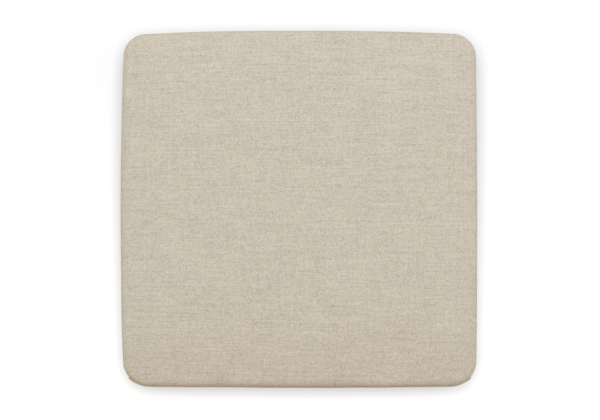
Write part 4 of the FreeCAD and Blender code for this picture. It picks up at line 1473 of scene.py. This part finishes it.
def staple_spots(tree, entry):
    """One point for each staple on all four sides, and each side's quarter turn."""
    step = maths(tree, "DIVIDE", maths(tree, "MULTIPLY", entry["Row"], 2.0), entry["Per side"])
    gaps = maths(tree, "SUBTRACT", entry["Per side"], 1.0)
    first_x = maths(tree, "MULTIPLY", maths(tree, "MULTIPLY", gaps, -0.5), step)
    first_y = maths(tree, "MULTIPLY", entry["Row"], -1.0)
    line = add_node(tree, "GeometryNodeMeshLine")
    feed(tree, line.inputs["Count"], entry["Per side"])
    feed(tree, line.inputs["Start Location"], joined(tree, first_x, first_y, entry["Height"]))
    feed(tree, line.inputs["Offset"], joined(tree, step, 0.0, 0.0))
    spots = add_node(tree, "GeometryNodeMeshToPoints")
    feed(tree, spots.inputs["Mesh"], line.outputs["Mesh"])
    copies = add_node(tree, "GeometryNodeDuplicateElements", domain="POINT")
    feed(tree, copies.inputs["Geometry"], spots.outputs["Points"])
    copies.inputs["Amount"].default_value = 4
    quarter = maths(tree, "MULTIPLY", copies.outputs["Duplicate Index"], math.pi / 2)
    turn = add_node(tree, "ShaderNodeVectorRotate", rotation_type="Z_AXIS")
    feed(tree, turn.inputs["Vector"], add_node(tree, "GeometryNodeInputPosition").outputs[0])
    feed(tree, turn.inputs["Angle"], quarter)
    square = add_node(tree, "GeometryNodeSetPosition")
    feed(tree, square.inputs["Geometry"], copies.outputs["Geometry"])
    feed(tree, square.inputs["Position"], turn.outputs[0])
    return square.outputs["Geometry"], quarter


def bent_wire(tree, entry):
    """One staple: a tip, two corners and a tip, rounded and given the wire's section."""
    corners = add_node(tree, "GeometryNodeMeshLine")
    corners.inputs["Count"].default_value = 4
    # Of the corners numbered 0 to 3, the last two are on the right, and 0 and 3 are the tips
    from_middle = maths(tree, "SUBTRACT", add_node(tree, "GeometryNodeInputIndex").outputs[0], 1.5)
    right = maths(tree, "MULTIPLY_ADD", maths(tree, "GREATER_THAN", from_middle, 0.0), 2.0, -1.0)
    tip = maths(tree, "GREATER_THAN", maths(tree, "ABSOLUTE", from_middle), 1.0)
    half_wire = maths(tree, "MULTIPLY", entry["Wire deep"], 0.5)
    half_crown = maths(tree, "SUBTRACT", maths(tree, "MULTIPLY", entry["Crown"], 0.5), half_wire)
    rise = maths(tree, "MULTIPLY_ADD", tip, maths(tree, "SUBTRACT", entry["Leg"], half_wire), half_wire)
    bent = add_node(tree, "GeometryNodeSetPosition")
    feed(tree, bent.inputs["Geometry"], corners.outputs["Mesh"])
    feed(tree, bent.inputs["Position"], joined(tree, maths(tree, "MULTIPLY", right, half_crown), 0.0, rise))
    path = add_node(tree, "GeometryNodeMeshToCurve")
    feed(tree, path.inputs["Mesh"], bent.outputs["Geometry"])
    rounded = add_node(tree, "GeometryNodeFilletCurve", mode="POLY")
    feed(tree, rounded.inputs["Curve"], path.outputs["Curve"])
    rounded.inputs["Count"].default_value = BEND_STEPS
    rounded.inputs["Radius"].default_value = BEND_RADIUS
    section = add_node(tree, "GeometryNodeCurvePrimitiveQuadrilateral")
    feed(tree, section.inputs["Width"], entry["Wire deep"])
    feed(tree, section.inputs["Height"], entry["Wire wide"])
    solid = add_node(tree, "GeometryNodeCurveToMesh")
    feed(tree, solid.inputs["Curve"], rounded.outputs["Curve"])
    feed(tree, solid.inputs["Profile Curve"], section.outputs["Curve"])
    solid.inputs["Fill Caps"].default_value = True
    return solid.outputs["Mesh"]


def staple_tree():
    """Geometry Nodes: a square run of staples from named sizes."""
    tree = bpy.data.node_groups.new("staple_run", "GeometryNodeTree")
    for kind, label in STAPLE_INPUTS:
        tree.interface.new_socket(label, in_out="INPUT", socket_type=kind)
    tree.interface.new_socket("Geometry", in_out="OUTPUT", socket_type="NodeSocketGeometry")
    entry = tree.nodes.new("NodeGroupInput").outputs
    leave = tree.nodes.new("NodeGroupOutput").inputs
    spots, quarter = staple_spots(tree, entry)
    staple = bent_wire(tree, entry)
    chance = add_node(tree, "FunctionNodeRandomValue", data_type="FLOAT")
    feed(tree, chance.inputs[2], maths(tree, "MULTIPLY", entry["Lean"], -1.0))
    feed(tree, chance.inputs[3], entry["Lean"])
    feed(tree, chance.inputs["Seed"], entry["Seed"])
    stand = add_node(tree, "GeometryNodeInstanceOnPoints")
    feed(tree, stand.inputs["Points"], spots)
    feed(tree, stand.inputs["Instance"], staple)
    flip = maths(tree, "MULTIPLY", entry["Upside down"], math.pi)
    heading = maths(tree, "ADD", quarter, chance.outputs[1])
    feed(tree, stand.inputs["Rotation"], joined(tree, flip, 0.0, heading))
    real = add_node(tree, "GeometryNodeRealizeInstances")
    feed(tree, real.inputs["Geometry"], stand.outputs["Instances"])
    coat = add_node(tree, "GeometryNodeSetMaterial")
    feed(tree, coat.inputs["Geometry"], real.outputs["Geometry"])
    feed(tree, coat.inputs["Material"], entry["Wire"])
    feed(tree, leave["Geometry"], coat.outputs["Geometry"])
    return tree


staples = staple_tree()
print("staple tree nodes:", len(staples.nodes))

# %% [markdown]
# ## The four runs of staples
#
# A modifier with the tree makes each run, and baking it leaves a plain mesh. Three runs are
# shot up into the rails from below. The hessian's run is shot down into them from above,
# with longer legs, so its staples stand upside down.

# %% Staple runs
STAPLE_CROWN = 10 * MM
STAPLE_LEAN = math.radians(7)
SHORT_LEG = 6 * MM
LONG_LEG = 12 * MM


def staple_run(name, node, height, leg, upside_down, seed):
    """One run of staples as a plain mesh, in place of its CAD node."""
    piece = mesh_piece(name, np.zeros((0, 3)), [])
    modifier = piece.modifiers.new("staples", "NODES")
    modifier.node_group = staples
    values = {
        "Row": staple_row(node),
        "Per side": STAPLES_PER_SIDE[node],
        "Height": height,
        "Crown": STAPLE_CROWN,
        "Leg": leg,
        "Wire deep": WIRE_DEEP,
        "Wire wide": WIRE_WIDE,
        "Upside down": upside_down,
        "Lean": STAPLE_LEAN,
        "Seed": seed,
        "Wire": wire,
    }
    for item in staples.interface.items_tree:
        if item.in_out == "INPUT":
            modifier[item.identifier] = values[item.name]
    baked(piece)
    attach(piece, "root")
    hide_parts(node)
    return piece


runs = [
    ("dust_cover_staple_run", "dust_cover_staples", 0.0, SHORT_LEG, 0.0, 4),
    ("cover_staple_run", "cover_staples", cover_low[2], SHORT_LEG, 0.0, 5),
    ("liner_staple_run", "liner_staples", liner_low[2], SHORT_LEG, 0.0, 6),
    ("hessian_staple_run", "hessian_staples", hessian_high[2], LONG_LEG, 1.0, 7),
]
for run in runs:
    made = staple_run(*run)
    print(made.name, "faces:", len(made.data.polygons), "row, in mm:", round(staple_row(run[1]) / MM, 2))

# %% [markdown]
# ## Finishes for the hard pieces
#
# The rails, dowels, tee nuts and webbing staples keep the engineering shapes and only get
# their finishes. A node is never moved or reshaped here.

# %% Hard pieces
HARD_FINISHES = {
    "front_rail": beech_long,
    "back_rail": beech_long,
    "left_rail": beech_cross,
    "right_rail": beech_cross,
    "frame_dowels": beech_cross,
    "tee_nuts": zinc,
    "webbing_staples": wire,
}


def coat_node(node, material):
    """Puts a material in every slot of a CAD node."""
    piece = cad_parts[node]
    for place in piece.material_slots:
        place.material = material
    if not piece.material_slots:
        piece.data.materials.append(material)


for node, material in HARD_FINISHES.items():
    coat_node(node, material)
print("hard pieces finished:", len(HARD_FINISHES))

# %% [markdown]
# ## Tying the pieces to the frame
#
# Every soft piece rides on the frame's one body, and the plain solid it stands for is hidden.
# The sizes the sheets were cut to are worked out and printed. The cover's cut is the pad's
# width plus the way down both sides and under.

# %% Riding and replacing
soft_pieces = [
    (seat_cover, "seat_cover", "linen_cover"),
    (liner, "calico_liner", "calico"),
    (wadding, "wadding_wrap", "wadding"),
    (foam, "seat_foam", "foam"),
    (hessian, "hessian_panel", "hessian"),
    (dust_cover, "dust_cover", "dust_cover"),
]
soft_pieces += [(piece, node, "webbing") for node, piece in straps.items()]
for piece, node, finish in soft_pieces:
    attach(piece, "root")
    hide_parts(node)

PATH_DOWN = TOP - DROP_AT_SIDE - UNDER
COVER_CUT = 2 * (HALF + PATH_DOWN + HALF - COVER_RETURN)
LINER_CUT = 2 * (HALF + PATH_DOWN + HALF - LINER_RETURN)
HESSIAN_CUT = 2 * hessian_high[0]
DUST_CUT = 2 * (dust_half + HEM)
cuts = {"cover": COVER_CUT, "liner": LINER_CUT, "hessian": HESSIAN_CUT, "dust cover": DUST_CUT}
print("cut sizes:", {name: round(cut, 3) for name, cut in cuts.items()})

# %% [markdown]
# ## The floor
#
# A plain white floor under the seat catches its soft shadow. It glows just enough to burn
# out to white away from the seat, as a lit studio sweep does, and a little less behind the
# seat, where the big light falls. Close to the seat an ambient occlusion node dims the glow,
# a painted contact shadow: the thin soft shade that any object has where it meets a white table.
#
# To the light that bounces off it, the floor is a pale wooden table. That warms the lower
# sides of the seat. The Light Path node tells the two kinds of look apart.

# %% Floor
FLOOR_HALF = 1.4
FLOOR_DROP = 0.3 * MM
SEEN_COLOUR = (0.20, 0.202, 0.206, 1.0)
BOUNCED_COLOUR = (0.56, 0.435, 0.265, 1.0)
GLOW_IN_FRONT = 0.86
GLOW_BEHIND = 0.70
# Painted contact shadow: how far the occlusion reaches, how much of the glow it takes, its samples
CONTACT_REACH = 22 * MM
CONTACT_SHARE = 0.7
CONTACT_SAMPLES = 16


def floor_finish():
    """White to the eye with a painted contact shadow; pale wood to the light that bounces off it."""
    material, tree, shader = new_material("studio_floor", 0.9)
    shader.inputs["Specular IOR Level"].default_value = 0.0
    seen = add_node(tree, "ShaderNodeLightPath").outputs["Is Camera Ray"]
    colour = blend_colours(tree, seen, BOUNCED_COLOUR, SEEN_COLOUR)
    feed(tree, shader.inputs["Base Color"], colour)
    depth = split(tree, object_place(tree))[1]
    glow = spread(tree, depth, -HALF, HALF, GLOW_IN_FRONT, GLOW_BEHIND)
    # Painted contact shadow: the glow is dimmed where the seat stands close over the floor
    open_sky = add_node(tree, "ShaderNodeAmbientOcclusion", samples=CONTACT_SAMPLES)
    open_sky.inputs["Distance"].default_value = CONTACT_REACH
    painted_contact_shade = maths(tree, "MULTIPLY_ADD", open_sky.outputs["AO"], CONTACT_SHARE, 1 - CONTACT_SHARE)
    strength = maths(tree, "MULTIPLY", maths(tree, "MULTIPLY", glow, painted_contact_shade), seen)
    shader.inputs["Emission Color"].default_value = PLAIN_WHITE
    feed(tree, shader.inputs["Emission Strength"], strength)
    return material


floor_points = np.array([(-1, -1, 0), (1, -1, 0), (1, 1, 0), (-1, 1, 0)]) * FLOOR_HALF
floor_points[:, 2] = -FLOOR_DROP
floor = mesh_piece("studio_floor", floor_points, [[0, 1, 2, 3]], None, floor_finish())
floor.data.polygons[0].use_smooth = False
print("floor, in metres:", 2 * FLOOR_HALF, "square")
